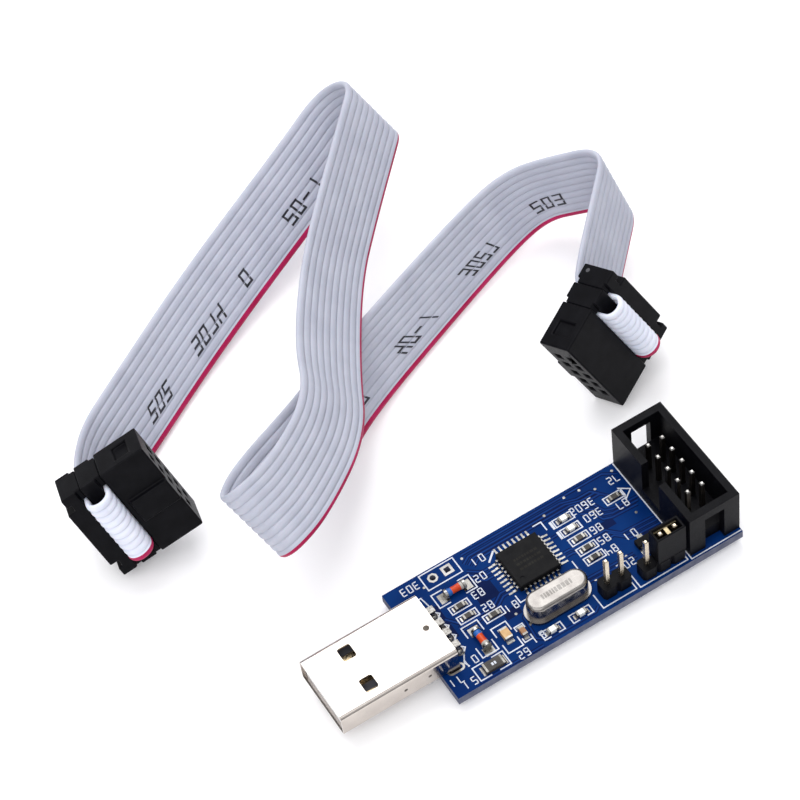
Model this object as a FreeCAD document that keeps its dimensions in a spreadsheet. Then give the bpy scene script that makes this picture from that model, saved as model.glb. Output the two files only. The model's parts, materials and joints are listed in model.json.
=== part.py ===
"""USB microcontroller programmer board with its ten-wire ribbon cable.

Frame, in millimetres: +X runs from the USB plug to the ten-pin header, +Y across the board and
+Z up. The origin is under the middle of the plug and board, on the surface that the pins stand on.
Places on the board are measured from its plug-end edge (x) and from its centre line (y).
"""
import FreeCAD, Part
import math
import os

import Sketcher
from FreeCAD import Placement, Rotation, Vector

doc = FreeCAD.newDocument("usb_programmer")
sheet = doc.addObject("Spreadsheet::Sheet", "dims")

DIMENSIONS = [
    # circuit board
    ("board_length", 50.0), ("board_width", 21.3), ("board_thickness", 1.6), ("pin_stub", 1.3),
    ("jumper_hole", 1.0), ("lead_hole", 1.0), ("slot_play", 0.4),
    # USB plug
    ("plug_reach", 16.7), ("plug_length", 19.7), ("plug_width", 12.0), ("plug_height", 4.5),
    ("plug_wall", 0.3), ("window_length", 2.15), ("window_width", 2.45), ("window_spacing", 6.2),
    ("window_setback", 6.4), ("plug_corner", 0.7), ("leg_length", 1.6),
    ("tongue_width", 11.2), ("tongue_thickness", 1.8), ("plug_block", 6.0), ("contact_width", 1.1),
    ("contact_thickness", 0.25),
    # pin headers, all on one grid
    ("pitch", 2.54), ("pin_side", 0.64), ("pin_top", 8.4), ("pin_clearance", 0.1),
    ("base_height", 2.5), ("base_width", 2.5),
    # box header
    ("shroud_depth", 8.85), ("shroud_length", 20.3), ("shroud_height", 9.0), ("cavity_depth", 6.4),
    ("cavity_length", 17.8), ("cavity_drop", 6.5), ("key_width", 4.5), ("end_slot_width", 3.4),
    ("end_slot_height", 7.3),
    # jumper cap
    ("cap_length", 5.0), ("cap_width", 2.45), ("cap_height", 6.0), ("cap_bore_length", 4.2),
    ("cap_bore_width", 1.7), ("clip_strip", 0.2), ("clip_height", 4.6), ("clip_length", 3.9),
    # microcontroller, a square flat package
    ("chip_side", 7.0), ("chip_height", 1.4), ("chip_standoff", 0.1), ("chip_bevel", 0.12),
    ("chip_mark", 0.8), ("chip_mark_inset", 1.1), ("chip_mark_depth", 0.1),
    # crystal
    ("crystal_length", 11.05), ("crystal_width", 4.65), ("flange_height", 0.5),
    ("can_length", 10.2), ("can_width", 3.8), ("can_height", 3.0), ("can_round", 0.6),
    # glass diodes
    ("diode_length", 3.5), ("glass_length", 2.7), ("glass_width", 1.36), ("diode_cap_width", 1.5),
    # transistor
    ("transistor_length", 2.9), ("transistor_width", 1.3), ("transistor_height", 1.0),
    # chip parts: each family's length over its plated ends, width and height
    ("end_cap", 0.32),
    ("resistor_length", 1.6), ("resistor_width", 0.8), ("resistor_height", 0.45),
    ("capacitor_length", 1.6), ("capacitor_width", 0.8), ("capacitor_height", 0.8),
    ("large_capacitor_length", 2.0), ("large_capacitor_width", 1.25), ("large_capacitor_height", 0.9),
    ("led_length", 1.6), ("led_width", 0.8), ("led_height", 0.6),
    ("fuse_length", 3.2), ("fuse_width", 1.6), ("fuse_height", 0.7),
    # ribbon and its sockets
    ("wire_count", 10.0), ("wire_pitch", 1.27), ("ribbon_thickness", 0.9),
    ("socket_length", 17.3), ("socket_width", 6.0), ("body_height", 7.5), ("cover_height", 2.6),
    ("clip_bar_height", 2.5), ("clip_crown_height", 0.6), ("clip_crown_length", 11.6),
    ("clip_notch", 0.8), ("clip_notch_width", 1.2), ("slot_height", 0.9), ("latch_width", 5.0),
    ("socket_key_width", 4.3), ("socket_key_depth", 0.8), ("socket_key_height", 6.5),
    ("latch_window_width", 3.2), ("latch_window_height", 2.4), ("latch_window_depth", 0.5),
    ("contact_bore", 1.2), ("contact_bore_depth", 6.2), ("blade_width", 0.5), ("blade_depth", 0.8),
    ("blade_height", 5.0), ("blade_setback", 1.0), ("loop_standoff", 0.5),
]
for row, (alias, value) in enumerate(DIMENSIONS, start=1):
    sheet.set(f"A{row}", alias.replace("_", " "))
    sheet.set(f"B{row}", str(value))
    sheet.setAlias(f"B{row}", alias)
doc.recompute()


def size(alias):
    """The number that a cell of the sheet holds."""
    return float(sheet.get(alias))


BOARD_EDGE = (size("plug_reach") - size("board_length")) / 2
BOARD_TOP = size("pin_stub") + size("board_thickness")
PLUG_Y = -0.4
PITCH = size("pitch")
RIBBON_WIDTH = size("wire_count") * size("wire_pitch")
# the cut-outs run this far past the face they open
OVERRUN = 1.0


def on_board(x, y, height=0.0):
    """A point above the board's top face."""
    return Vector(BOARD_EDGE + x, y, BOARD_TOP + height)


# ------------------------------------------------------------------ building blocks

subparts = []


def keep(feature, name, placement):
    """Make a finished feature one of the sub-parts, in its place."""
    feature.Label = name
    feature.Placement = placement
    subparts.append(feature)
    return feature


def new_body(name):
    """An empty PartDesign body."""
    return doc.addObject("PartDesign::Body", f"{name}_body")


def sketch_on(body, role, name, **offsets):
    """A sketch on one of the body's origin planes, moved by expressions along its own axes."""
    sketch = body.newObject("Sketcher::SketchObject", f"{body.Name}_{name}")
    plane = next(item for item in body.Origin.OriginFeatures if item.Role == role)
    sketch.AttachmentSupport = [(plane, "")]
    sketch.MapMode = "FlatFace"
    for axis, expression in offsets.items():
        sketch.setExpression(f".AttachmentOffset.Base.{axis}", expression)
    return sketch


def add_rectangle(sketch, width, height, centre=(0.0, 0.0)):
    """A rectangle whose two sizes are expressions, held by its centre."""
    x, y = centre
    corners = [Vector(x + i, y + j, 0) for i, j in ((-1, -1), (1, -1), (1, 1), (-1, 1))]
    first = sketch.GeometryCount
    for start, end in zip(corners, corners[1:] + corners[:1]):
        sketch.addGeometry(Part.LineSegment(start, end))
    for side in range(4):
        following = first + (side + 1) % 4
        sketch.addConstraint(Sketcher.Constraint("Coincident", first + side, 2, following, 1))
    for side in range(4):
        sketch.addConstraint(Sketcher.Constraint(("Horizontal", "Vertical")[side % 2], first + side))
    middle = sketch.addGeometry(Part.Point(Vector(x, y, 0)), True)
    sketch.addConstraint(Sketcher.Constraint("Symmetric", first, 1, first + 1, 2, middle, 1))
    sketch.addConstraint(Sketcher.Constraint("DistanceX", -1, 1, middle, 1, x))
    sketch.addConstraint(Sketcher.Constraint("DistanceY", -1, 1, middle, 1, y))
    for side, kind, expression in ((0, "DistanceX", width), (1, "DistanceY", height)):
        index = sketch.addConstraint(Sketcher.Constraint(kind, first + side, 1, first + side, 2, 2.0))
        sketch.setExpression(f"Constraints[{index}]", expression)


def add_circle(sketch, diameter, centre=(0.0, 0.0)):
    """A circle whose diameter is an expression, held by its centre."""
    x, y = centre
    circle = sketch.addGeometry(Part.Circle(Vector(x, y, 0), Vector(0, 0, 1), 0.5))
    sketch.addConstraint(Sketcher.Constraint("DistanceX", -1, 1, circle, 3, x))
    sketch.addConstraint(Sketcher.Constraint("DistanceY", -1, 1, circle, 3, y))
    index = sketch.addConstraint(Sketcher.Constraint("Diameter", circle, 1.0))
    sketch.setExpression(f"Constraints[{index}]", diameter)


def add_stadium(sketch, length, width):
    """A slot outline along the sketch's x axis: two straight sides and two half circles."""
    half, radius = 2.0, 1.0
    lines = [sketch.addGeometry(Part.LineSegment(Vector(-half, side, 0), Vector(half, side, 0)))
             for side in (-radius, radius)]
    arcs = []
    for x, start in ((half, -math.pi / 2), (-half, math.pi / 2)):
        circle = Part.Circle(Vector(x, 0, 0), Vector(0, 0, 1), radius)
        arcs.append(sketch.addGeometry(Part.ArcOfCircle(circle, start, start + math.pi)))
    joints = ((lines[0], 2, arcs[0], 1), (arcs[0], 2, lines[1], 2),
              (lines[1], 1, arcs[1], 1), (arcs[1], 2, lines[0], 1))
    for joint in joints:
        sketch.addConstraint(Sketcher.Constraint("Tangent", *joint))
    sketch.addConstraint(Sketcher.Constraint("Symmetric", arcs[0], 3, arcs[1], 3, -1, 1))
    sketch.addConstraint(Sketcher.Constraint("Horizontal", lines[0]))
    sketch.addConstraint(Sketcher.Constraint("Equal", arcs[0], arcs[1]))
    spread = sketch.addConstraint(Sketcher.Constraint("DistanceX", arcs[1], 3, arcs[0], 3, 2 * half))
    sketch.setExpression(f"Constraints[{spread}]", f"{length} - {width}")
    round_end = sketch.addConstraint(Sketcher.Constraint("Radius", arcs[0], radius))
    sketch.setExpression(f"Constraints[{round_end}]", f"{width} / 2")


def extrude(kind, sketch, length, reverse=False, both_ways=False):
    """A Pad or a Pocket of a sketch, its length an expression."""
    body = sketch.getParentGeoFeatureGroup()
    feature = body.newObject(f"PartDesign::{kind}", f"{sketch.Name}_{kind}")
    feature.Profile = sketch
    feature.Midplane = both_ways
    feature.Reversed = reverse
    feature.setExpression("Length", length)
    doc.recompute()
    return feature


def soften(kind, body, radius, wanted):
    """Fillet or chamfer the edges of the body's shape that wanted() picks."""
    tip = body.Tip
    edges = [f"Edge{number}" for number, edge in enumerate(tip.Shape.Edges, start=1) if wanted(edge)]
    feature = body.newObject(f"PartDesign::{kind}", f"{body.Name}_{kind}")
    feature.Base = (tip, edges)
    feature.setExpression({"Fillet": "Radius", "Chamfer": "Size"}[kind], radius)
    doc.recompute()
    return feature


def box(name, length, width, height, x="0", y="0", z="0"):
    """A box centred on x and y, standing on z; every size and place is an expression."""
    block = doc.addObject("Part::Box", name)
    for prop, expression in (("Length", length), ("Width", width), ("Height", height)):
        block.setExpression(prop, expression)
    block.setExpression("Placement.Base.x", f"{x} - ({length}) / 2")
    block.setExpression("Placement.Base.y", f"{y} - ({width}) / 2")
    block.setExpression("Placement.Base.z", z)
    return block


def cylinder_along_x(name, diameter, length, x="0"):
    """A cylinder whose axis is the local x axis, centred on x."""
    rod = doc.addObject("Part::Cylinder", name)
    rod.Placement = Placement(Vector(), Rotation(Vector(0, 1, 0), 90))
    rod.setExpression("Radius", f"({diameter}) / 2")
    rod.setExpression("Height", length)
    rod.setExpression("Placement.Base.x", f"{x} - ({length}) / 2")
    return rod


def joined(name, shapes):
    fuse = doc.addObject("Part::MultiFuse", name)
    fuse.Shapes = shapes
    return fuse


def grouped(name, shapes):
    group = doc.addObject("Part::Compound", name)
    group.Links = shapes
    return group


def cut(name, base, tool):
    result = doc.addObject("Part::Cut", name)
    result.Base = base
    result.Tool = tool
    return result


def made(name, shape, placement=Placement()):
    """A sub-part whose shape neither a body nor the primitives suit."""
    feature = doc.addObject("Part::Feature", f"{name}_shape")
    feature.Shape = shape
    return keep(feature, name, placement)


def grid_offsets(count):
    """Places of a row of pins about its middle."""
    return [(index - (count - 1) / 2) * PITCH for index in range(count)]


# ------------------------------------------------------------------ places on the board

HEADER_CENTRE = (45.57, 0.3)
HEADER_PINS = [(HEADER_CENTRE[0] + dx, HEADER_CENTRE[1] + dy)
               for dx in grid_offsets(2) for dy in grid_offsets(5)]
JUMPER_ROW_CENTRE = (36.84, -8.5)
JUMPER_ROW_PINS = [(JUMPER_ROW_CENTRE[0] + dx, JUMPER_ROW_CENTRE[1]) for dx in grid_offsets(3)]
PAIR_CENTRE = (29.0, -7.9)
PAIR_PINS = [(PAIR_CENTRE[0] + dx, PAIR_CENTRE[1]) for dx in grid_offsets(2)]
OPEN_HOLES = [(7.84, 8.93), (10.38, 8.93)]
CRYSTAL_CENTRE = (20.8, -5.1)
CRYSTAL_LEADS = [(CRYSTAL_CENTRE[0] + dx, CRYSTAL_CENTRE[1]) for dx in (-2.45, 2.45)]
PLUG_PIN_X = 4.3
PLUG_PINS = [(PLUG_PIN_X, PLUG_Y + dy) for dy in (-3.5, -1.0, 1.0, 3.5)]
PLUG_LEG_X = 2.2
LEG_INSET = size("plug_wall") / 2
CHIP_CENTRE = (20.76, 2.75)
TRANSISTOR_CENTRE = (37.0, -4.0)
# name: (x, y, turn in degrees)
DIODES = {"diode_1": (8.0, -4.4, 90), "diode_2": (9.3, 5.0, 0)}
# name: (x, y, turn in degrees, family)
CHIP_PARTS = {
    "resistor_1": (11.85, -1.7, 0, "resistor"),
    "resistor_2": (8.6, 0.3, 0, "resistor"),
    "resistor_3": (8.5, 2.4, 0, "resistor"),
    "resistor_4": (29.5, -1.9, 0, "resistor"),
    "resistor_5": (29.5, 0.1, 0, "resistor"),
    "resistor_6": (29.5, 2.2, 0, "resistor"),
    "resistor_7": (37.8, 5.3, 0, "resistor"),
    "capacitor_1": (13.7, -6.7, 90, "capacitor"),
    "capacitor_2": (11.4, -5.7, 90, "large_capacitor"),
    "capacitor_3": (17.4, -8.9, 0, "capacitor"),
    "capacitor_4": (22.4, -8.9, 0, "capacitor"),
    "led_1": (29.4, 4.3, 0, "led"),
    "led_2": (29.4, 6.4, 0, "led"),
    "fuse": (7.2, -8.9, 0, "fuse"),
}


# ------------------------------------------------------------------ circuit board

def make_circuit_board():
    body = new_body("circuit_board")
    outline = sketch_on(body, "XY_Plane", "outline")
    add_rectangle(outline, "dims.board_length", "dims.board_width")
    extrude("Pad", outline, "dims.board_thickness")
    holes = sketch_on(body, "XY_Plane", "holes", z="dims.board_thickness")
    half = size("board_length") / 2
    for x, y in OPEN_HOLES:
        add_circle(holes, "dims.jumper_hole", (x - half, y))
    for x, y in HEADER_PINS + JUMPER_ROW_PINS + PAIR_PINS + CRYSTAL_LEADS + PLUG_PINS:
        add_circle(holes, "dims.lead_hole", (x - half, y))
    extrude("Pocket", holes, f"dims.board_thickness + {OVERRUN}")
    slots = sketch_on(body, "XY_Plane", "leg_slots", z="dims.board_thickness")
    for side in (-1, 1):
        place = (PLUG_LEG_X - half, PLUG_Y + side * (size("plug_width") / 2 - LEG_INSET))
        add_rectangle(slots, "dims.leg_length + dims.slot_play", "dims.plug_wall + dims.slot_play",
                      place)
    extrude("Pocket", slots, f"dims.board_thickness + {OVERRUN}")
    keep(body, "circuit_board", Placement(Vector(BOARD_EDGE + half, 0, size("pin_stub")), Rotation()))


# ------------------------------------------------------------------ USB plug

def make_usb_shell():
    """The folded shell; its local origin is the middle of the mouth, on the board's top."""
    body = new_body("usb_shell")
    outer = sketch_on(body, "YZ_Plane", "outer", y="dims.plug_height / 2")
    add_rectangle(outer, "dims.plug_width", "dims.plug_height")
    extrude("Pad", outer, "dims.plug_length")
    soften("Fillet", body, "dims.plug_corner",
           lambda edge: abs(edge.tangentAt(edge.FirstParameter).x) > 0.9)
    inner = sketch_on(body, "YZ_Plane", "inner", y="dims.plug_height / 2")
    add_rectangle(inner, "dims.plug_width - 2 * dims.plug_wall", "dims.plug_height - 2 * dims.plug_wall")
    extrude("Pocket", inner, f"dims.plug_length + {OVERRUN}", reverse=True)
    windows = sketch_on(body, "XY_Plane", "windows", x="dims.window_setback",
                        z=f"dims.plug_height + {OVERRUN}")
    for side in (-1, 1):
        add_rectangle(windows, "dims.window_length", "dims.window_width",
                      (0, side * size("window_spacing") / 2))
    extrude("Pocket", windows, f"dims.plug_height + 2 * {OVERRUN}")
    legs = sketch_on(body, "XY_Plane", "legs", z="dims.plug_height / 2")
    leg_x = size("plug_reach") + PLUG_LEG_X
    for side in (-1, 1):
        add_rectangle(legs, "dims.leg_length", "dims.plug_wall",
                      (leg_x, side * (size("plug_width") / 2 - LEG_INSET)))
    extrude("Pad", legs, "dims.plug_height / 2 + dims.board_thickness + dims.pin_stub", reverse=True)
    keep(body, "usb_shell", Placement(on_board(-size("plug_reach"), PLUG_Y), Rotation()))


def make_usb_core():
    """The plastic tongue with its rear block, and the four contacts let into it."""
    inset = 0.6
    rear_gap = 0.3
    floor = size("plug_wall") + 0.05
    tongue_length = f"(dims.plug_length - {inset + rear_gap})"
    block_x = f"(dims.plug_length - {rear_gap} - dims.plug_block / 2)"
    tongue = box("tongue_plate", tongue_length, "dims.tongue_width", "dims.tongue_thickness",
                 x=f"{inset} + {tongue_length} / 2", z=f"{floor}")
    block = box("tongue_block", "dims.plug_block", "dims.tongue_width",
                f"dims.plug_height - 2 * {floor}", x=block_x, z=f"{floor}")
    contact_z = f"{floor} + dims.tongue_thickness"
    channels = [box(f"tongue_channel_{number}", "dims.plug_block + 2", "dims.contact_width + 0.1",
                    "dims.contact_thickness + 0.05", x=block_x, y=str(y - PLUG_Y), z=contact_z)
                for number, (_, y) in enumerate(PLUG_PINS, start=1)]
    core = cut("tongue_cut", joined("tongue_solid", [tongue, block]),
               joined("tongue_channels", channels))
    mouth = Placement(on_board(-size("plug_reach"), PLUG_Y), Rotation())
    keep(core, "usb_tongue", mouth)
    pin_x = size("plug_reach") + PLUG_PIN_X
    tail_width, tail_end = 0.6, "(0.3 - dims.board_thickness - dims.pin_stub)"
    for number, (_, y) in enumerate(PLUG_PINS, start=1):
        start = 2.0 if number in (1, 4) else 3.0
        strip = box(f"contact_strip_{number}", f"{pin_x + 0.3 - start}", "dims.contact_width",
                    "dims.contact_thickness", x=f"{(pin_x + 0.3 + start) / 2}", z=contact_z)
        tail = box(f"contact_tail_{number}", f"{tail_width}", f"{tail_width}",
                   f"{contact_z} + dims.contact_thickness - {tail_end}", x=f"{pin_x}", z=tail_end)
        keep(joined(f"contact_{number}", [strip, tail]), f"usb_contact_{number}",
             Placement(on_board(-size("plug_reach"), y), Rotation()))


# ------------------------------------------------------------------ pin headers

def make_box_header():
    body = new_body("box_header")
    outer = sketch_on(body, "XY_Plane", "outer")
    add_rectangle(outer, "dims.shroud_depth", "dims.shroud_length")
    extrude("Pad", outer, "dims.shroud_height")
    cavity = sketch_on(body, "XY_Plane", "cavity", z="dims.shroud_height")
    add_rectangle(cavity, "dims.cavity_depth", "dims.cavity_length")
    extrude("Pocket", cavity, "dims.cavity_drop")
    key = sketch_on(body, "XY_Plane", "key", x="-dims.shroud_depth / 2", z="dims.shroud_height")
    add_rectangle(key, "dims.shroud_depth - dims.cavity_depth", "dims.key_width")
    extrude("Pocket", key, "dims.cavity_drop")
    for name, side in (("near_slot", -1), ("far_slot", 1)):
        slot = sketch_on(body, "XZ_Plane", name, y="dims.end_slot_height / 2",
                         z=f"{-side} * (dims.shroud_length / 2 + {OVERRUN})")
        add_rectangle(slot, "dims.end_slot_width", "dims.end_slot_height")
        extrude("Pocket", slot, f"(dims.shroud_length - dims.cavity_length) / 2 + {OVERRUN}",
                reverse=side > 0)
    bores = sketch_on(body, "XY_Plane", "bores", z="dims.shroud_height")
    for x, y in HEADER_PINS:
        add_rectangle(bores, "dims.pin_side + dims.pin_clearance", "dims.pin_side + dims.pin_clearance",
                      (x - HEADER_CENTRE[0], y - HEADER_CENTRE[1]))
    extrude("Pocket", bores, "dims.shroud_height")
    keep(body, "box_header_shroud", Placement(on_board(*HEADER_CENTRE), Rotation()))
    for number, place in enumerate(HEADER_PINS, start=1):
        keep(header_pin(f"header_pin_{number:02d}"), f"box_header_pin_{number:02d}",
             Placement(on_board(*place, height=-BOARD_TOP), Rotation()))


def header_pin(name):
    """One square pin with its two ends chamfered, standing on the surface below the board."""
    tall = "dims.pin_stub + dims.board_thickness + dims.pin_top"
    blank = box(f"{name}_blank", "dims.pin_side", "dims.pin_side", tall)
    doc.recompute()
    pin = doc.addObject("Part::Chamfer", name)
    pin.Base = blank
    bevel = 0.15
    pin.Edges = [(number, bevel, bevel) for number, edge in enumerate(blank.Shape.Edges, start=1)
                 if abs(edge.tangentAt(edge.FirstParameter).z) < 0.1]
    return pin


def make_open_header(name, centre, pins):
    """A low plastic base with bare pins, which stand in holes through it."""
    length = f"dims.pitch * {len(pins)} - 0.1"
    base = box(f"{name}_block", length, "dims.base_width", "dims.base_height")
    side = "dims.pin_side + dims.pin_clearance"
    bores = [box(f"{name}_bore_{number}", side, side, f"dims.base_height + 2 * {OVERRUN}",
                 x=str(x - centre[0]), z=f"-{OVERRUN}")
             for number, (x, _) in enumerate(pins, start=1)]
    keep(cut(f"{name}_cut", base, joined(f"{name}_bores", bores)), f"{name}_base",
         Placement(on_board(*centre), Rotation()))
    row = []
    for number, (x, _) in enumerate(pins, start=1):
        pin = header_pin(f"{name}_pin_{number}")
        pin.Placement = Placement(Vector(x - centre[0], 0, 0), Rotation())
        row.append(pin)
    keep(grouped(f"{name}_row", row), f"{name}_pins",
         Placement(on_board(*centre, height=-BOARD_TOP), Rotation()))


def make_jumper_cap():
    """The pull-off cap on the last two pins of the jumper row, with its folded contact inside."""
    middle = (JUMPER_ROW_PINS[1][0] + JUMPER_ROW_PINS[2][0]) / 2
    seat = Placement(on_board(middle, JUMPER_ROW_CENTRE[1], size("base_height")), Rotation())
    outer = box("cap_outer", "dims.cap_length", "dims.cap_width", "dims.cap_height")
    bore = box("cap_bore", "dims.cap_bore_length", "dims.cap_bore_width",
               f"dims.cap_height + 2 * {OVERRUN}", z=f"-{OVERRUN}")
    keep(cut("cap_cut", outer, bore), "jumper_cap_housing", seat)
    lift, web_width = 0.8, 0.6
    leaves = [box(f"cap_leaf_{name}", "dims.clip_length", "dims.clip_strip", "dims.clip_height",
                  y=f"{side} * (dims.cap_bore_width - dims.clip_strip) / 2", z=f"{lift}")
              for name, side in (("front", -1), ("back", 1))]
    web = box("cap_web", f"{web_width}", "dims.cap_bore_width", "dims.clip_height", z=f"{lift}")
    keep(joined("cap_clip", leaves + [web]), "jumper_cap_contact", seat)


# ------------------------------------------------------------------ chips and other parts

def gull_wing(reach, foot, width, thickness, shoulder):
    """One bent lead along +x: a shoulder, a slope down and a foot on the board."""
    knee, toe = reach * 0.35, reach - foot
    centre_line = [(0, shoulder), (knee, shoulder), (toe, thickness / 2), (reach, thickness / 2)]
    half = thickness / 2
    top = [Vector(x, 0, z + half) for x, z in centre_line]
    under = [Vector(x, 0, z - half) for x, z in reversed(centre_line)]
    outline = Part.makePolygon(top + under + top[:1])
    lead = Part.Face(outline).extrude(Vector(0, width, 0))
    lead.translate(Vector(0, -width / 2, 0))
    return lead


def make_microcontroller():
    body = new_body("microcontroller")
    square = sketch_on(body, "XY_Plane", "square")
    add_rectangle(square, "dims.chip_side", "dims.chip_side")
    extrude("Pad", square, "dims.chip_height")
    soften("Chamfer", body, "dims.chip_bevel",
           lambda edge: abs(edge.tangentAt(edge.FirstParameter).z) < 0.1)
    corner = size("chip_side") / 2 - size("chip_mark_inset")
    mark = sketch_on(body, "XY_Plane", "mark", z="dims.chip_height")
    add_circle(mark, "dims.chip_mark", (-corner, -corner))
    extrude("Pocket", mark, "dims.chip_mark_depth")
    seat = Placement(on_board(*CHIP_CENTRE, height=size("chip_standoff")), Rotation())
    keep(body, "microcontroller_body", seat)
    lead_pitch, per_side = 0.8, 8
    leads = []
    for quarter in range(4):
        for index in range(per_side):
            lead = gull_wing(reach=1.0, foot=0.5, width=0.36, thickness=0.14,
                             shoulder=size("chip_height") / 2)
            lead.translate(Vector(size("chip_side") / 2, (index - (per_side - 1) / 2) * lead_pitch, 0))
            lead.rotate(Vector(), Vector(0, 0, 1), 90 * quarter)
            leads.append(lead)
    made("microcontroller_leads", Part.makeCompound(leads), Placement(on_board(*CHIP_CENTRE), Rotation()))


def make_crystal():
    for name, outline, height, lift in (("base", "crystal", "dims.flange_height", 0.0),
                                        ("can", "can", "dims.can_height", size("flange_height"))):
        body = new_body(f"crystal_{name}")
        sketch = sketch_on(body, "XY_Plane", "outline")
        add_stadium(sketch, f"dims.{outline}_length", f"dims.{outline}_width")
        extrude("Pad", sketch, height)
        if name == "can":
            top = size("can_height")
            soften("Fillet", body, "dims.can_round",
                   lambda edge: all(abs(vertex.Z - top) < 0.01 for vertex in edge.Vertexes))
        keep(body, f"crystal_{name}", Placement(on_board(*CRYSTAL_CENTRE, height=lift), Rotation()))


def make_diodes():
    cap = (size("diode_length") - size("glass_length")) / 2
    caps = []
    for name, (x, y, turn) in DIODES.items():
        seat = Placement(on_board(x, y, size("diode_cap_width") / 2), Rotation(turn, 0, 0))
        rod = cylinder_along_x(f"{name}_rod", "dims.glass_width", "dims.glass_length")
        keep(grouped(f"{name}_wrap", [rod]), f"{name}_glass", seat)
        for start in (-size("diode_length") / 2, size("glass_length") / 2):
            disc = Part.makeCylinder(size("diode_cap_width") / 2, cap, Vector(start, 0, 0),
                                     Vector(1, 0, 0))
            caps.append(disc.transformed(seat.toMatrix()))
    made("diode_caps", Part.makeCompound(caps))


def make_chip_parts():
    """Resistors, capacitors, LEDs and the fuse: a body between two plated ends."""
    end_cap = size("end_cap")
    ends = []
    for name, (x, y, turn, family) in CHIP_PARTS.items():
        seat = Placement(on_board(x, y), Rotation(turn, 0, 0))
        core = box(f"{name}_core", f"dims.{family}_length - 2 * dims.end_cap", f"dims.{family}_width",
                   f"dims.{family}_height")
        keep(grouped(f"{name}_wrap", [core]), name, seat)
        length, width, height = (size(f"{family}_{side}") for side in ("length", "width", "height"))
        for start in (-length / 2, length / 2 - end_cap):
            end = Part.makeBox(end_cap, width, height, Vector(start, -width / 2, 0))
            ends.append(end.transformed(seat.toMatrix()))
    made("chip_terminations", Part.makeCompound(ends))


def make_transistor():
    """A block with two leads on one side and one on the other."""
    standoff, lead_pitch = 0.1, 1.9
    core = box("transistor_core", "dims.transistor_length", "dims.transistor_width",
               f"dims.transistor_height - {standoff}")
    keep(grouped("transistor_wrap", [core]), "transistor_body",
         Placement(on_board(*TRANSISTOR_CENTRE, height=standoff), Rotation()))
    leads = []
    for x, side in ((-lead_pitch / 2, -1), (lead_pitch / 2, -1), (0.0, 1)):
        lead = gull_wing(reach=0.55, foot=0.3, width=0.4, thickness=0.12,
                         shoulder=size("transistor_height") / 2)
        lead.rotate(Vector(), Vector(0, 0, 1), 90 * side)
        lead.translate(Vector(x, side * size("transistor_width") / 2, 0))
        leads.append(lead)
    made("transistor_leads", Part.makeCompound(leads), Placement(on_board(*TRANSISTOR_CENTRE), Rotation()))


def make_solder_joints():
    """A cone of solder under the board round each lead that comes through it."""
    foot, neck, height, bore = 0.95, 0.55, 0.9, 0.47
    down = Vector(0, 0, -1)
    joints = []
    for x, y in HEADER_PINS + JUMPER_ROW_PINS + PAIR_PINS + PLUG_PINS + CRYSTAL_LEADS:
        base = on_board(x, y, -size("board_thickness"))
        cone = Part.makeCone(foot, neck, height, base, down)
        if (x, y) not in CRYSTAL_LEADS:
            cone = cone.cut(Part.makeCylinder(bore, height, base, down))
        joints.append(cone)
    made("solder_joints", Part.makeCompound(joints))


# ------------------------------------------------------------------ ribbon sockets

EARS_TOP = (size("body_height") + size("cover_height") + size("clip_bar_height")
            + 2 * size("slot_height"))
SLOTS = (size("body_height") + size("slot_height") / 2,
         size("body_height") + size("cover_height") + 1.5 * size("slot_height"))


def socket_seat(x, y, yaw, pitch, roll):
    """Where a socket stands: its lowest corner is on the surface.

    Its local x is its long side, y its thickness towards the key, z from the holes to the clip.
    """
    turn = Rotation(yaw, pitch, roll)
    half_length, half_width = size("socket_length") / 2, size("socket_width") / 2
    corners = [turn.multVec(Vector(i * half_length, j * half_width, k * EARS_TOP))
               for i in (-1, 1) for j in (-1, 1) for k in (0, 1)]
    return Placement(Vector(x, y, -min(corner.z for corner in corners)), turn)


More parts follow.
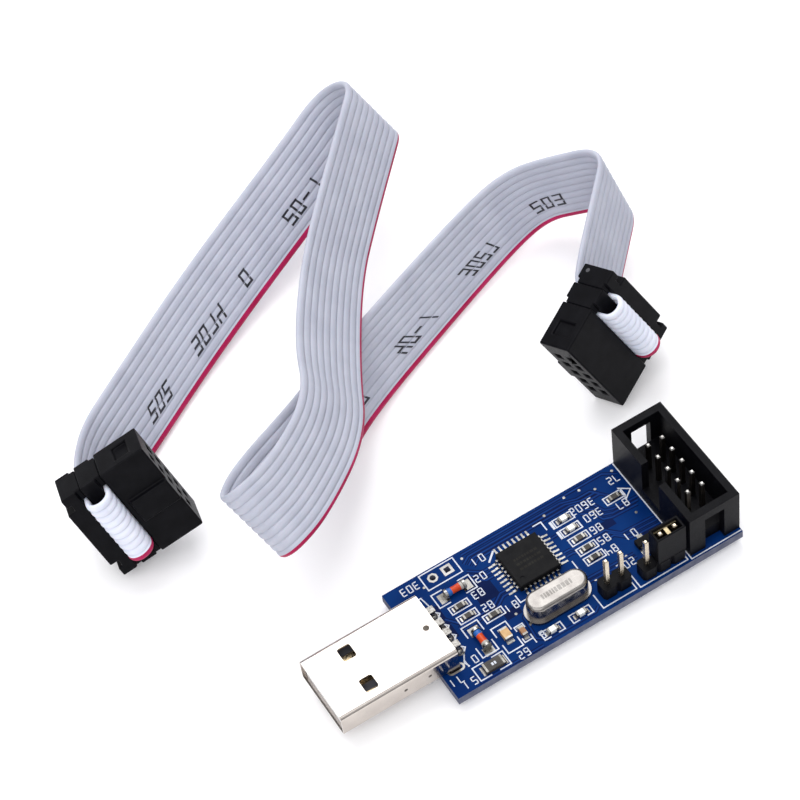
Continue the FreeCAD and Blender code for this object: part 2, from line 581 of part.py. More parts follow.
def make_socket(name, seat, loop_side):
    """One ten-way ribbon socket; the ribbon's folded end bulges on its loop side."""
    body = new_body(f"{name}_body")
    outer = sketch_on(body, "XY_Plane", "outer")
    add_rectangle(outer, "dims.socket_length", "dims.socket_width")
    extrude("Pad", outer, "dims.body_height")
    key = sketch_on(body, "XY_Plane", "key", y="dims.socket_width / 2")
    add_rectangle(key, "dims.socket_key_width", "2 * dims.socket_key_depth")
    extrude("Pad", key, "dims.socket_key_height")
    holes = sketch_on(body, "XY_Plane", "holes")
    for x in grid_offsets(5):
        for y in grid_offsets(2):
            add_rectangle(holes, "dims.contact_bore", "dims.contact_bore", (x, y))
    extrude("Pocket", holes, "dims.contact_bore_depth", reverse=True)
    for side in (-1, 1):
        window = sketch_on(body, "YZ_Plane", f"latch_window_{side + 1}", y="dims.socket_key_height / 2",
                           z=f"{side} * dims.socket_length / 2")
        add_rectangle(window, "dims.latch_window_width", "dims.latch_window_height")
        extrude("Pocket", window, "dims.latch_window_depth", reverse=side < 0)
    keep(body, f"{name}_body", seat)

    cover_z = "dims.body_height + dims.slot_height"
    cover = box(f"{name}_cover_bar", "dims.socket_length", "dims.socket_width", "dims.cover_height",
                z=cover_z)
    keep(joined(f"{name}_cover_joined", [cover] + end_posts(f"{name}_latch", "dims.body_height")),
         f"{name}_cover", seat)

    post_z = f"{cover_z} + dims.cover_height"
    bar_z = f"{post_z} + dims.slot_height"
    crown_z = f"{bar_z} + dims.clip_bar_height"
    bar = box(f"{name}_clip_bar", "dims.socket_length", "dims.socket_width", "dims.clip_bar_height",
              z=bar_z)
    crown = box(f"{name}_clip_crown", "dims.clip_crown_length", "dims.socket_width",
                "dims.clip_crown_height", z=crown_z)
    notches = [box(f"{name}_clip_notch_{number}", "dims.clip_notch_width",
                   f"dims.socket_width + 2 * {OVERRUN}", f"dims.clip_notch + {OVERRUN}",
                   x=f"{side} * (dims.clip_crown_length + dims.clip_notch_width) / 2",
                   z=f"{crown_z} - dims.clip_notch")
               for number, side in enumerate((-1, 1), start=1)]
    clip = cut(f"{name}_clip_cut", joined(f"{name}_clip_solid", [bar, crown]),
               joined(f"{name}_clip_notches", notches))
    keep(joined(f"{name}_clip_joined", [clip] + end_posts(f"{name}_hook", post_z)), f"{name}_clip", seat)

    blades = [box(f"{name}_blade_{row}_{column}", "dims.blade_width", "dims.blade_depth",
                  "dims.blade_height", x=str(x), y=str(y), z="dims.blade_setback")
              for row, x in enumerate(grid_offsets(5)) for column, y in enumerate(grid_offsets(2))]
    keep(grouped(f"{name}_blade_group", blades), f"{name}_contacts", seat)
    made(f"{name}_ribbon_loop", ribbon_loop(loop_side), seat)


def end_posts(name, z):
    """The two posts that close a ribbon slot at the socket's ends."""
    length = "((dims.socket_length - dims.wire_count * dims.wire_pitch) / 2 - 0.2)"
    return [box(f"{name}_{number}", length, "dims.latch_width", "dims.slot_height",
                x=f"{side} * (dims.socket_length - {length}) / 2", z=z)
            for number, side in enumerate((-1, 1), start=1)]


def ribbon_loop(loop_side):
    """The ribbon's crimped end: through the lower slot, round outside and back by the upper slot."""
    middle = sum(SLOTS) / 2
    inner = (SLOTS[1] - SLOTS[0] - size("ribbon_thickness")) / 2
    outer = inner + size("ribbon_thickness")
    left = -RIBBON_WIDTH / 2
    exit_y = -loop_side * size("socket_width") / 2
    bend_y = loop_side * (size("socket_width") / 2 + size("loop_standoff"))

    def corners(radius):
        """Along a bend of this radius, from the lower slot's exit face to the upper slot's."""
        ends = [Vector(left, exit_y, middle - radius), Vector(left, bend_y, middle - radius),
                Vector(left, bend_y, middle + radius), Vector(left, exit_y, middle + radius)]
        crown = Vector(left, bend_y + loop_side * radius, middle)
        edges = [Part.LineSegment(ends[0], ends[1]).toShape(),
                 Part.Arc(ends[1], crown, ends[2]).toShape(),
                 Part.LineSegment(ends[2], ends[3]).toShape()]
        return ends, edges

    outer_ends, edges = corners(outer)
    inner_ends, inner_edges = corners(inner)
    edges += inner_edges
    edges += [Part.LineSegment(outer_ends[end], inner_ends[end]).toShape() for end in (0, 3)]
    profile = Part.Face(Part.Wire(Part.__sortEdges__(edges)))
    return profile.extrude(Vector(RIBBON_WIDTH, 0, 0))


# ------------------------------------------------------------------ ribbon

# The two sockets lie apart from the board, each standing on one end: x, y, yaw, pitch, roll.
SOCKET_A = socket_seat(-34.3, 41.1, -57.5, 63.5, 132.0)
SOCKET_B = socket_seat(27.7, 23.4, -29.5, 63.0, -51.5)

# The free ribbon, as straight lines drawn across it from its plain edge to its red edge. It
# leaves socket A, turns back at the far fold, turns again at the near fold and at the right
# fold, and reaches socket B. Each edge is the smooth curve of its own points.
ROUTE = [
    ((-45.0, 51.5, 13.5), (-42.5, 46.0, 2.0)),
    ((-40.0, 59.5, 10.0), (-40.0, 50.0, 0.5)),
    ((-32.0, 64.5, 10.0), (-36.0, 52.0, 0.5)),
    ((-12.5, 76.5, 10.0), (-12.0, 66.5, 0.5)),
    # far fold
    ((11.0, 85.5, 15.5), (19.0, 78.5, 7.5)),
    ((21.5, 90.0, 18.0), (26.5, 82.0, 9.5)),
    ((24.5, 83.5, 24.5), (29.0, 77.0, 14.5)),
    ((19.0, 77.5, 24.5), (25.0, 73.0, 14.0)),
    ((5.5, 64.0, 22.5), (17.0, 65.0, 13.0)),
    ((-1.5, 56.0, 21.5), (8.5, 56.0, 12.0)),
    ((-9.0, 44.5, 22.5), (-1.0, 40.5, 13.0)),
    ((-13.5, 34.0, 25.5), (-7.5, 27.0, 17.0)),
    # near fold
    ((-23.5, 26.5, 27.0), (-19.5, 17.5, 18.5)),
    ((-31.0, 23.0, 28.0), (-27.0, 14.0, 19.5)),
    ((-32.5, 26.5, 23.0), (-28.5, 17.5, 15.0)),
    ((-27.5, 30.0, 21.0), (-24.0, 21.0, 13.0)),
    ((-13.0, 40.5, 13.0), (-9.5, 31.0, 5.0)),
    ((-8.5, 45.5, 10.5), (-0.5, 40.5, 0.5)),
    ((5.0, 51.0, 10.5), (24.5, 51.0, 0.5)),
    # right fold
    ((36.0, 62.5, 12.0), (41.5, 57.0, 1.5)),
    ((44.0, 57.5, 16.0), (45.5, 54.0, 3.5)),
    ((51.5, 52.0, 19.0), (54.5, 47.5, 7.0)),
    ((45.0, 45.5, 18.0), (46.5, 39.5, 6.0)),
    ((36.0, 36.5, 16.5), (41.5, 34.5, 5.0)),
]
LEAD_OUT = 1.5


def slot_line(seat, exit_side, reach=0.0):
    """The line where the ribbon crosses a socket's side, or that line moved outwards."""
    y = exit_side * (size("socket_width") / 2 + reach)
    return tuple(seat.multVec(Vector(side * RIBBON_WIDTH / 2, y, SLOTS[1])) for side in (-1, 1))


def ribbon_lines():
    free = [(Vector(*plain), Vector(*red)) for plain, red in ROUTE]
    return ([slot_line(SOCKET_A, -1), slot_line(SOCKET_A, -1, LEAD_OUT)] + free
            + [slot_line(SOCKET_B, 1, LEAD_OUT), slot_line(SOCKET_B, 1)])


def edge_curve(points):
    """A quadratic spline that starts and ends on its first and last points."""
    spans = len(points) - 2
    curve = Part.BSplineCurve()
    multiplicities = [3] + [1] * (spans - 1) + [3]
    curve.buildFromPolesMultsKnots(points, multiplicities, list(range(spans + 1)), False, 2)
    return curve


def make_ribbon():
    """A flat band between the two edge curves, in straight facets along its rulings."""
    facets_per_span = 4
    lines = ribbon_lines()
    plain_edge, red_edge = (edge_curve([line[side] for line in lines]) for side in (0, 1))
    stations = [index / facets_per_span for index in range((len(lines) - 2) * facets_per_span + 1)]
    half = size("ribbon_thickness") / 2
    rings, middles = [], []
    for station in stations:
        plain, red = plain_edge.value(station), red_edge.value(station)
        along = plain_edge.tangent(station)[0] + red_edge.tangent(station)[0]
        normal = along.cross(red - plain).normalize() * half
        rings.append([plain + normal, red + normal, red - normal, plain - normal])
        middles.append((plain + red) * 0.5)
    faces = []
    for ring, following in zip(rings, rings[1:]):
        for corner in range(4):
            other = (corner + 1) % 4
            a, b, c, d = ring[corner], ring[other], following[other], following[corner]
            faces.append(Part.Face(Part.makePolygon([a, b, c, a])))
            faces.append(Part.Face(Part.makePolygon([a, c, d, a])))
    for ring in (rings[0], rings[-1]):
        faces.append(Part.Face(Part.makePolygon(ring + ring[:1])))
    shell = Part.Shell(faces)
    shell.sewShape()
    band = Part.Solid(shell)
    if band.Volume < 0:
        band.reverse()
    made("ribbon_cable", band)

    length = sum((b - a).Length for a, b in zip(middles, middles[1:]))
    section = RIBBON_WIDTH * size("ribbon_thickness")
    print(f"ribbon length {length:.1f} mm, volume {band.Volume:.0f} mm3, "
          f"section x length {section * length:.0f} mm3")
    radii = [bend_radius(*three) for three in zip(middles[::2], middles[2::2], middles[4::2])]
    print("ribbon bend radii, mm:", " ".join(f"{radius:.0f}" for radius in radii if radius < 100))
    print(f"ribbon lowest point {band.BoundBox.ZMin:.2f} mm")


def bend_radius(a, b, c):
    """The radius of the circle through three points."""
    area = (b - a).cross(c - a).Length / 2
    return (b - a).Length * (c - b).Length * (c - a).Length / (4 * area) if area > 1e-9 else math.inf


# ------------------------------------------------------------------ the whole part

make_circuit_board()
make_usb_shell()
make_usb_core()
make_box_header()
make_open_header("pair_header", PAIR_CENTRE, PAIR_PINS)
make_open_header("jumper_header", JUMPER_ROW_CENTRE, JUMPER_ROW_PINS)
make_jumper_cap()
make_microcontroller()
make_crystal()
make_diodes()
make_chip_parts()
make_transistor()
make_solder_joints()
make_socket("socket_a", SOCKET_A, loop_side=1)
make_socket("socket_b", SOCKET_B, loop_side=-1)
make_ribbon()
doc.recompute()

for item in doc.Objects:
    if "Invalid" in item.State or "Error" in item.State:
        raise RuntimeError(f"{item.Name} failed: {item.State}")
for part in subparts:
    if part.Shape.isNull() or not part.Shape.isValid() or part.Shape.Volume <= 0:
        raise RuntimeError(f"{part.Label} has no valid solid")
os.makedirs("parts", exist_ok=True)
for part in subparts:
    part.Shape.exportStep(f"parts/{part.Label}.step")
print(len(subparts), "sub-parts written")
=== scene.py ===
"""Looks of the USB programmer board and its ribbon cable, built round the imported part.

Everything is in the part's own frame, in metres: +X from the USB plug to the ten-pin header, +Y
across the board, +Z up. Places on the board are in millimetres from its plug-end edge and its
centre line, y = 0, as in the part's source.
"""
import bisect
import json
import math
import random

import bmesh
import bpy
from mathutils import Matrix, Vector


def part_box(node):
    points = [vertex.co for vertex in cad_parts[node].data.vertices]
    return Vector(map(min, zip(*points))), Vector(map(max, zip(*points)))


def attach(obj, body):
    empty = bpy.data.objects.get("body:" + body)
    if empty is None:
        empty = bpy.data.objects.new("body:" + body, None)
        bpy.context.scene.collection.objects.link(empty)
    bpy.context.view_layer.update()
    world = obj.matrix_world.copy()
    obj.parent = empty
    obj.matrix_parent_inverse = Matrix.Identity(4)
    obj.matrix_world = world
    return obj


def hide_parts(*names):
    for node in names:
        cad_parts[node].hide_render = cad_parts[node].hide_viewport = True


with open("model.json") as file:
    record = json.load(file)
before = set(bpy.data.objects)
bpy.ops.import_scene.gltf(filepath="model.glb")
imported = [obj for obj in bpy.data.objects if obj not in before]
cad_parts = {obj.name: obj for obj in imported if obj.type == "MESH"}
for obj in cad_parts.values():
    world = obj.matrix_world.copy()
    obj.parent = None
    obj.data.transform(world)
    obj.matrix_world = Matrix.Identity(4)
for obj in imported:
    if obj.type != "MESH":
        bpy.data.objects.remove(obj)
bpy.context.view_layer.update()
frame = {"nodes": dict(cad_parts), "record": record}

MM = 0.001
BODY_OF = {node: body for body, nodes in frame["record"]["behaviour"]["bodies"].items() for node in nodes}
MOUNTS = {mount["name"]: mount for mount in frame["record"]["mounts"]}

board_low, board_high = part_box("circuit_board")
BOARD_TOP = board_high.z


def on_board(x, y, height):
    """A point above the board's top, from millimetres along and across it."""
    return Vector((board_low.x + x * MM, y * MM, BOARD_TOP + height * MM))


def board_place(node):
    """The middle of a node on the board, in the board's own millimetres."""
    low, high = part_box(node)
    return ((low.x + high.x) / 2 - board_low.x) / MM, (low.y + high.y) / 2 / MM


def part_size(node):
    """A node's length along the board, its width across it and its height, in millimetres."""
    low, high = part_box(node)
    return [(high[axis] - low[axis]) / MM for axis in range(3)]


RESISTORS = [f"resistor_{index}" for index in range(1, 8)]
LEDS = ["led_1", "led_2"]
CHIP_PARTS = RESISTORS + [f"capacitor_{index}" for index in range(1, 5)] + LEDS + ["fuse"]
# the length of a chip part's plated end, beyond its body
END_CAP = 0.32
# the plug's middle, off the board's centre line
PLUG_Y = -0.4
# where the plug's four tails are soldered
PLUG_PINS = [(4.3, board_place(f"usb_contact_{index}")[1]) for index in range(1, 5)]
OPEN_HOLES = [((MOUNTS[name]["pos_m"][0] - board_low.x) / MM, MOUNTS[name]["pos_m"][1] / MM)
              for name in ("open_hole_1", "open_hole_2")]


def add_object(name, data):
    """A new object in the scene."""
    item = bpy.data.objects.new(name, data)
    bpy.context.scene.collection.objects.link(item)
    return item


# ---------------- camera

def make_camera():
    """A long lens from above the near, plug end of the board."""
    data = bpy.data.cameras.new("camera")
    data.sensor_width = 36.0
    data.lens = 131.15
    data.clip_start, data.clip_end = 0.02, 10.0
    camera = add_object("camera", data)
    camera.location = (-0.10448, -0.20388, 0.36762)
    camera.rotation_euler = [math.radians(angle) for angle in (35.799, 5.488, -31.639)]
    bpy.context.scene.camera = camera


make_camera()


# ---------------- materials

def add_node(material, kind, **inputs):
    """A shader node with its inputs set; an input may be another node's output."""
    item = material.node_tree.nodes.new(f"ShaderNode{kind}")
    for name, value in inputs.items():
        socket = item.inputs[name.replace("_", " ")]
        if isinstance(value, bpy.types.NodeSocket):
            material.node_tree.links.new(value, socket)
        else:
            socket.default_value = value
    return item


def link(material, output, socket):
    """Feed an output into one of the material's own inputs."""
    material.node_tree.links.new(output, material.node_tree.nodes["Principled BSDF"].inputs[socket])


def new_material(name, metallic=0.0, **sockets):
    """A plain material; sockets are inputs by name, with underscores for spaces."""
    material = bpy.data.materials.new(name)
    material.use_nodes = True
    shader = material.node_tree.nodes["Principled BSDF"]
    shader.inputs["Metallic"].default_value = metallic
    for socket, value in sockets.items():
        shader.inputs[socket.replace("_", " ")].default_value = value
    return material


def noise(material, grain, detail=3.0, stretch=(1.0, 1.0, 1.0)):
    """Noise whose features are about grain millimetres across."""
    where = add_node(material, "TexCoord").outputs["Object"]
    spread = add_node(material, "Mapping", Vector=where, Scale=stretch)
    return add_node(material, "TexNoise", Vector=spread.outputs["Vector"],
                    Scale=1 / (grain * MM), Detail=detail).outputs["Fac"]


def vary(material, fac, low, high):
    """The noise turned into a number between low and high."""
    return add_node(material, "MapRange", Value=fac, From_Min=0.3, From_Max=0.7,
                    To_Min=low, To_Max=high).outputs["Result"]


def blend(material, fac, first, second):
    """A colour between two colours, either of which may be an output."""
    mix = material.node_tree.nodes.new("ShaderNodeMix")
    mix.data_type = "RGBA"
    for socket, value in zip((mix.inputs["Factor"], mix.inputs[6], mix.inputs[7]), (fac, first, second)):
        if isinstance(value, bpy.types.NodeSocket):
            material.node_tree.links.new(value, socket)
        else:
            socket.default_value = (*value, 1.0)
    return mix.outputs[2]


def add_relief(material, height, depth):
    """Fine relief up to depth millimetres deep."""
    bump = add_node(material, "Bump", Height=height, Strength=1.0, Distance=depth * MM)
    link(material, bump.outputs["Normal"], "Normal")


def surface(name, dark, light, rough, grain, bump=0.0, gloss=0.5, metallic=0.0, stretch=(1.0, 1.0, 1.0),
            **sockets):
    """A material whose colour, roughness and fine relief all vary at one grain size."""
    material = new_material(name, metallic, Specular_IOR_Level=gloss, **sockets)
    fine = noise(material, grain, stretch=stretch)
    broad = noise(material, grain * 12, 2.0)
    link(material, blend(material, vary(material, broad, 0.0, 1.0), dark, light), "Base Color")
    link(material, vary(material, fine, *rough), "Roughness")
    if bump:
        add_relief(material, fine, bump)
    return material


def metal(name, dark, light, rough, grain, bump=0.0, **more):
    """The same for bare metal."""
    return surface(name, dark, light, rough, grain, bump, metallic=1.0, **more)


def ribbon_material(name, dark, light):
    """Soft vinyl: matt, slightly translucent looking, with a faint mottle."""
    return surface(name, dark, light, (0.42, 0.6), 0.35, bump=0.006, gloss=0.25,
                   Subsurface_Weight=0.05, Subsurface_Scale=0.6 * MM)


def contact_material():
    """Spring bronze that is gold plated inside the plug and tinned where it is soldered."""
    material = new_material("plug_contact", 1.0)
    where = add_node(material, "TexCoord").outputs["Object"]
    along = add_node(material, "SeparateXYZ", Vector=where).outputs["X"]
    shell_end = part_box("usb_shell")[1].x
    tinned = add_node(material, "MapRange", Value=along, From_Min=shell_end - 2 * MM,
                      From_Max=shell_end - 1 * MM).outputs["Result"]
    fine = noise(material, 0.35)
    solder = blend(material, vary(material, fine, 0.0, 1.0), (0.08, 0.075, 0.07), (0.36, 0.35, 0.33))
    link(material, blend(material, tinned, (0.62, 0.5, 0.32), solder), "Base Color")
    link(material, vary(material, fine, 0.2, 0.42), "Roughness")
    add_relief(material, fine, 0.04)
    return material


MATERIALS = {
    "contact": contact_material(),
    "board": surface("solder_mask", (0.001, 0.017, 0.1), (0.002, 0.028, 0.14), (0.3, 0.42), 0.5,
        bump=0.004, gloss=0.02),
    "gap": surface("mask_gap", (0.002, 0.007, 0.042), (0.004, 0.012, 0.064), (0.32, 0.45), 0.5, gloss=0.02),
    "trace": surface("mask_trace", (0.003, 0.025, 0.14), (0.005, 0.038, 0.18), (0.28, 0.4), 0.4,
        gloss=0.03),
    "laminate": surface("board_edge", (0.075, 0.085, 0.135), (0.135, 0.14, 0.19), (0.6, 0.8), 0.15,
        bump=0.02, stretch=(1.0, 1.0, 9.0), gloss=0.2),
    "silk": surface("silkscreen", (0.5, 0.53, 0.6), (0.68, 0.7, 0.76), (0.5, 0.7), 0.12, bump=0.004,
        gloss=0.2),
    "tin": metal("tinned_metal", (0.3, 0.29, 0.275), (0.46, 0.45, 0.43), (0.16, 0.36), 0.3, bump=0.012),
    "pad": metal("pad_solder", (0.11, 0.105, 0.095), (0.3, 0.29, 0.27), (0.2, 0.42), 0.35, bump=0.045),
    "lead": metal("lead_plate", (0.18, 0.175, 0.165), (0.32, 0.31, 0.295), (0.25, 0.4), 0.25, bump=0.012),
    "brass": metal("cap_brass", (0.24, 0.19, 0.11), (0.4, 0.33, 0.2), (0.25, 0.4), 0.2, bump=0.006),
    # a dark metal that is painted shade: in the shell's pressed spots, and on the header pins below their
    # tips inside the shroud
    "painted_shade_metal": metal("painted_shade_metal", (0.05, 0.045, 0.04), (0.12, 0.105, 0.09), (0.3, 0.45), 0.2,
        bump=0.006),
    "gold": metal("gold_plate", (0.76, 0.6, 0.37), (0.9, 0.77, 0.55), (0.18, 0.34), 0.25, bump=0.004),
    "pale_gold": metal("pin_plate", (0.62, 0.53, 0.4), (0.78, 0.69, 0.55), (0.2, 0.36), 0.25, bump=0.003),
    "nickel": metal("shell_nickel", (0.53, 0.48, 0.44), (0.6, 0.55, 0.505), (0.12, 0.2), 0.2, bump=0.0012),
    "steel": metal("crystal_steel", (0.22, 0.205, 0.195), (0.29, 0.275, 0.26), (0.2, 0.3), 0.12,
        bump=0.002, stretch=(0.12, 1.0, 1.0)),
    "steel_mark": metal("steel_mark", (0.165, 0.155, 0.145), (0.22, 0.21, 0.2), (0.3, 0.45), 0.12),
    "pale_glass": surface("pale_glass", (0.3, 0.29, 0.27), (0.5, 0.48, 0.44), (0.08, 0.2), 0.3, gloss=0.4),
    "black": surface("black_plastic", (0.002, 0.002, 0.003), (0.0045, 0.0045, 0.006), (0.36, 0.5), 0.18,
        bump=0.006, gloss=0.07),
    # a lighter grey for the clip's ejector mark, as a painted sheen on the black plastic
    "painted_sheen": surface("painted_sheen_plastic", (0.03, 0.03, 0.035), (0.09, 0.09, 0.1), (0.4, 0.6), 0.12),
    "chip": surface("chip_epoxy", (0.005, 0.005, 0.006), (0.009, 0.009, 0.0095), (0.5, 0.72), 0.1,
        bump=0.012, gloss=0.1),
    "dark_mark": surface("chip_marking", (0.011, 0.01, 0.009), (0.018, 0.017, 0.015), (0.5, 0.7), 0.1,
        gloss=0.1),
    # painted shade: the tongue is dark grey for the shade inside the shell, and only its front end keeps the
    # white plastic
    "tongue_painted_shade": surface("painted_shade_tongue", (0.05, 0.05, 0.06), (0.12, 0.12, 0.14), (0.35, 0.5), 0.3,
        bump=0.003),
    "white_plastic": surface("tongue_end", (0.76, 0.76, 0.78), (0.86, 0.86, 0.88), (0.35, 0.5), 0.3,
        bump=0.003),
    "ribbon": ribbon_material("ribbon_vinyl", (0.42, 0.435, 0.515), (0.47, 0.485, 0.565)),
    # a much lighter copy of the ribbon's vinyl for the loops, as painted light on the same cable
    "loop": ribbon_material("painted_light_loop_vinyl", (0.68, 0.71, 0.82), (0.78, 0.8, 0.9)),
    "stripe": ribbon_material("stripe_vinyl", (0.34, 0.004, 0.055), (0.44, 0.01, 0.09)),
    "ink": surface("ribbon_ink", (0.008, 0.008, 0.012), (0.03, 0.03, 0.04), (0.4, 0.55), 0.3),
    "red_glass": surface("red_glass", (0.42, 0.02, 0.005), (0.72, 0.11, 0.02), (0.08, 0.18), 0.5,
        gloss=0.25),
    "blue_band": surface("blue_band", (0.01, 0.06, 0.27), (0.035, 0.16, 0.5), (0.1, 0.2), 0.5, gloss=0.25),
    "resistor": surface("resistor_glaze", (0.02, 0.018, 0.017), (0.06, 0.052, 0.045), (0.2, 0.35), 0.2,
        bump=0.004, gloss=0.2),
    "tan": surface("tan_ceramic", (0.42, 0.24, 0.09), (0.6, 0.38, 0.17), (0.4, 0.6), 0.12, bump=0.01),
    "brown": surface("brown_ceramic", (0.2, 0.085, 0.025), (0.32, 0.15, 0.06), (0.4, 0.6), 0.12, bump=0.01),
    "lens": surface("led_lens", (0.72, 0.74, 0.7), (0.86, 0.87, 0.82), (0.12, 0.25), 0.3, bump=0.004,
        Coat_Weight=0.6, Coat_Roughness=0.1),
    "floor": surface("floor_paper", (0.9, 0.895, 0.9), (0.94, 0.935, 0.94), (0.75, 0.9), 1.2, bump=0.02,
        stretch=(1.0, 0.35, 1.0), Emission_Color=(1.0, 0.99, 1.0, 1.0), Emission_Strength=0.1),
}


# ---------------- mesh helpers

def new_piece(name, mesh, materials, body, smooth=True):
    """An object made from a bmesh, riding on a body of the part."""
    data = bpy.data.meshes.new(name)
    mesh.to_mesh(data)
    mesh.free()
    for material in materials:
        data.materials.append(MATERIALS[material])
    if smooth:
        data.shade_smooth()
    piece = add_object(name, data)
    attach(piece, body)
    return piece


def ring_turns(sides):
    """The angles of a circle's corners."""
    return [2 * math.pi * side / sides for side in range(sides)]


def bridge(mesh, ring, following, turned=False):
    """The faces between two closed rings, in order round them; turned, they face the other way."""
    faces = []
    for corner in range(len(ring)):
        other = (corner + 1) % len(ring)
        loop = [ring[corner], following[corner], following[other], ring[other]]
        faces.append(mesh.faces.new(loop[:1] + loop[:0:-1] if turned else loop))
    return faces


def plain_copy(node):
    """A node's mesh as a bmesh, with its triangles joined into whole flat faces."""
    source = frame["nodes"][node].data
    data = bpy.data.meshes.new(f"{node}_plain")
    data.from_pydata([vertex.co for vertex in source.vertices], [],
                     [face.vertices for face in source.polygons])
    mesh = bmesh.new()
    mesh.from_mesh(data)
    bpy.data.meshes.remove(data)
    bmesh.ops.remove_doubles(mesh, verts=mesh.verts, dist=1e-6)
    bmesh.ops.dissolve_limit(mesh, angle_limit=math.radians(0.5), verts=mesh.verts, edges=mesh.edges)
    return mesh


def soften(piece, width, segments):
    """Round a piece's sharp edges; the width is in millimetres."""
    bevel = piece.modifiers.new("edges", "BEVEL")
    bevel.width = width * MM
    bevel.segments = segments
    bevel.limit_method = "ANGLE"
    bevel.angle_limit = math.radians(30)
    piece.modifiers.new("normals", "WEIGHTED_NORMAL").keep_sharp = True


def refine(node, material, width, segments=3):
    """Replace a node by a copy whose edges are softly rounded, as moulded or folded ones are."""
    piece = new_piece(f"{node}_refined", plain_copy(node), [material], BODY_OF[node])
    soften(piece, width, segments)
    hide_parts(node)
    return piece


def paint(node, *materials, second=None):
    """Give a node that keeps its shape its materials; the second goes on faces that pass a test."""
    data = frame["nodes"][node].data
    data.materials.clear()
    for material in materials:
        data.materials.append(MATERIALS[material])
    if second:
        for face in data.polygons:
            face.material_index = int(second(face))


def add_strip(mesh, points, width, height, closed=False):
    """A flat line along points on the board's top, its corners mitred; sizes in millimetres."""
    count = len(points)
    rows = []
    for index, (x, y) in enumerate(points):
        before = points[index - 1] if index or closed else None
        after = points[(index + 1) % count] if index + 1 < count or closed else None
        ways = [Vector((b[0] - a[0], b[1] - a[1])).normalized()
                for a, b in ((before, (x, y)), ((x, y), after)) if a is not None and b is not None]
        along = sum(ways, Vector((0, 0))).normalized()
        side = Vector((-along.y, along.x)) * (width / 2 / max(0.35, along.dot(ways[0])))
        rows.append([mesh.verts.new(on_board(x + sign * side.x, y + sign * side.y, height))
                     for sign in (1, -1)])
    pairs = list(zip(rows, rows[1:] + rows[:1])) if closed else list(zip(rows, rows[1:]))
    for (left, right), (next_left, next_right) in pairs:
        mesh.faces.new((left, right, next_right, next_left))


def add_block(mesh, x, y, length, width, low, high, turn=0.0):
    """A box on the board, centred on x and y; sizes in millimetres."""
    spin = Matrix.Rotation(math.radians(turn), 3, "Z")
    corners = []
    for z in (low, high):
        for i, j in ((-1, -1), (1, -1), (1, 1), (-1, 1)):
            offset = spin @ Vector((i * length / 2, j * width / 2, 0))
            corners.append(mesh.verts.new(on_board(x + offset.x, y + offset.y, z)))
    for ring in ((3, 2, 1, 0), (4, 5, 6, 7), (0, 1, 5, 4), (1, 2, 6, 5), (2, 3, 7, 6), (3, 0, 4, 7)):
        mesh.faces.new([corners[corner] for corner in ring])


def add_ring(mesh, x, y, inner, outer, height, sides=28, reach=0.0):
    """A flat ring round a hole; reach stretches it into an oval along the board."""
    rings = []
    for radius in (inner, outer):
        ring = []
        for step in range(sides):
            angle = 2 * math.pi * (step + 0.5) / sides
            shift = math.copysign(reach / 2, math.cos(angle))
            ring.append(mesh.verts.new(on_board(x + shift + radius * math.cos(angle),
                                                y + radius * math.sin(angle), height)))
        rings.append(ring)
    bridge(mesh, *rings)


def add_dimple(mesh, centre, normal, radius, depth):
    """A shallow pressed spot on a wall."""
    across = normal.orthogonal().normalized()
    up = normal.cross(across)
    sides, rings = 24, 6
    rows = []
    for ring in range(rings + 1):
        part = ring / rings
        lift = depth * (0.5 + 0.5 * math.cos(math.pi * part))
        rows.append([mesh.verts.new(centre + normal * lift + (across * math.cos(turn) + up * math.sin(turn))
                                    * radius * max(part, 0.02))
                     for turn in ring_turns(sides)])
    mesh.faces.new(rows[0])
    for row, following in zip(rows, rows[1:]):
        bridge(mesh, row, following)
    bmesh.ops.recalc_face_normals(mesh, faces=mesh.faces)


# ---------------- ribbon

WIRES = 10
RIBBON_WIDTH = 12.7 * MM
CROWN = 0.45 * MM
VALLEY = 0.2 * MM
STEPS_PER_WIRE = 6
# how the two sockets stand: yaw, pitch and roll in degrees
SOCKET_TURNS = {"a": (-57.5, 63.5, 132.0), "b": (-29.5, 63.0, -51.5)}

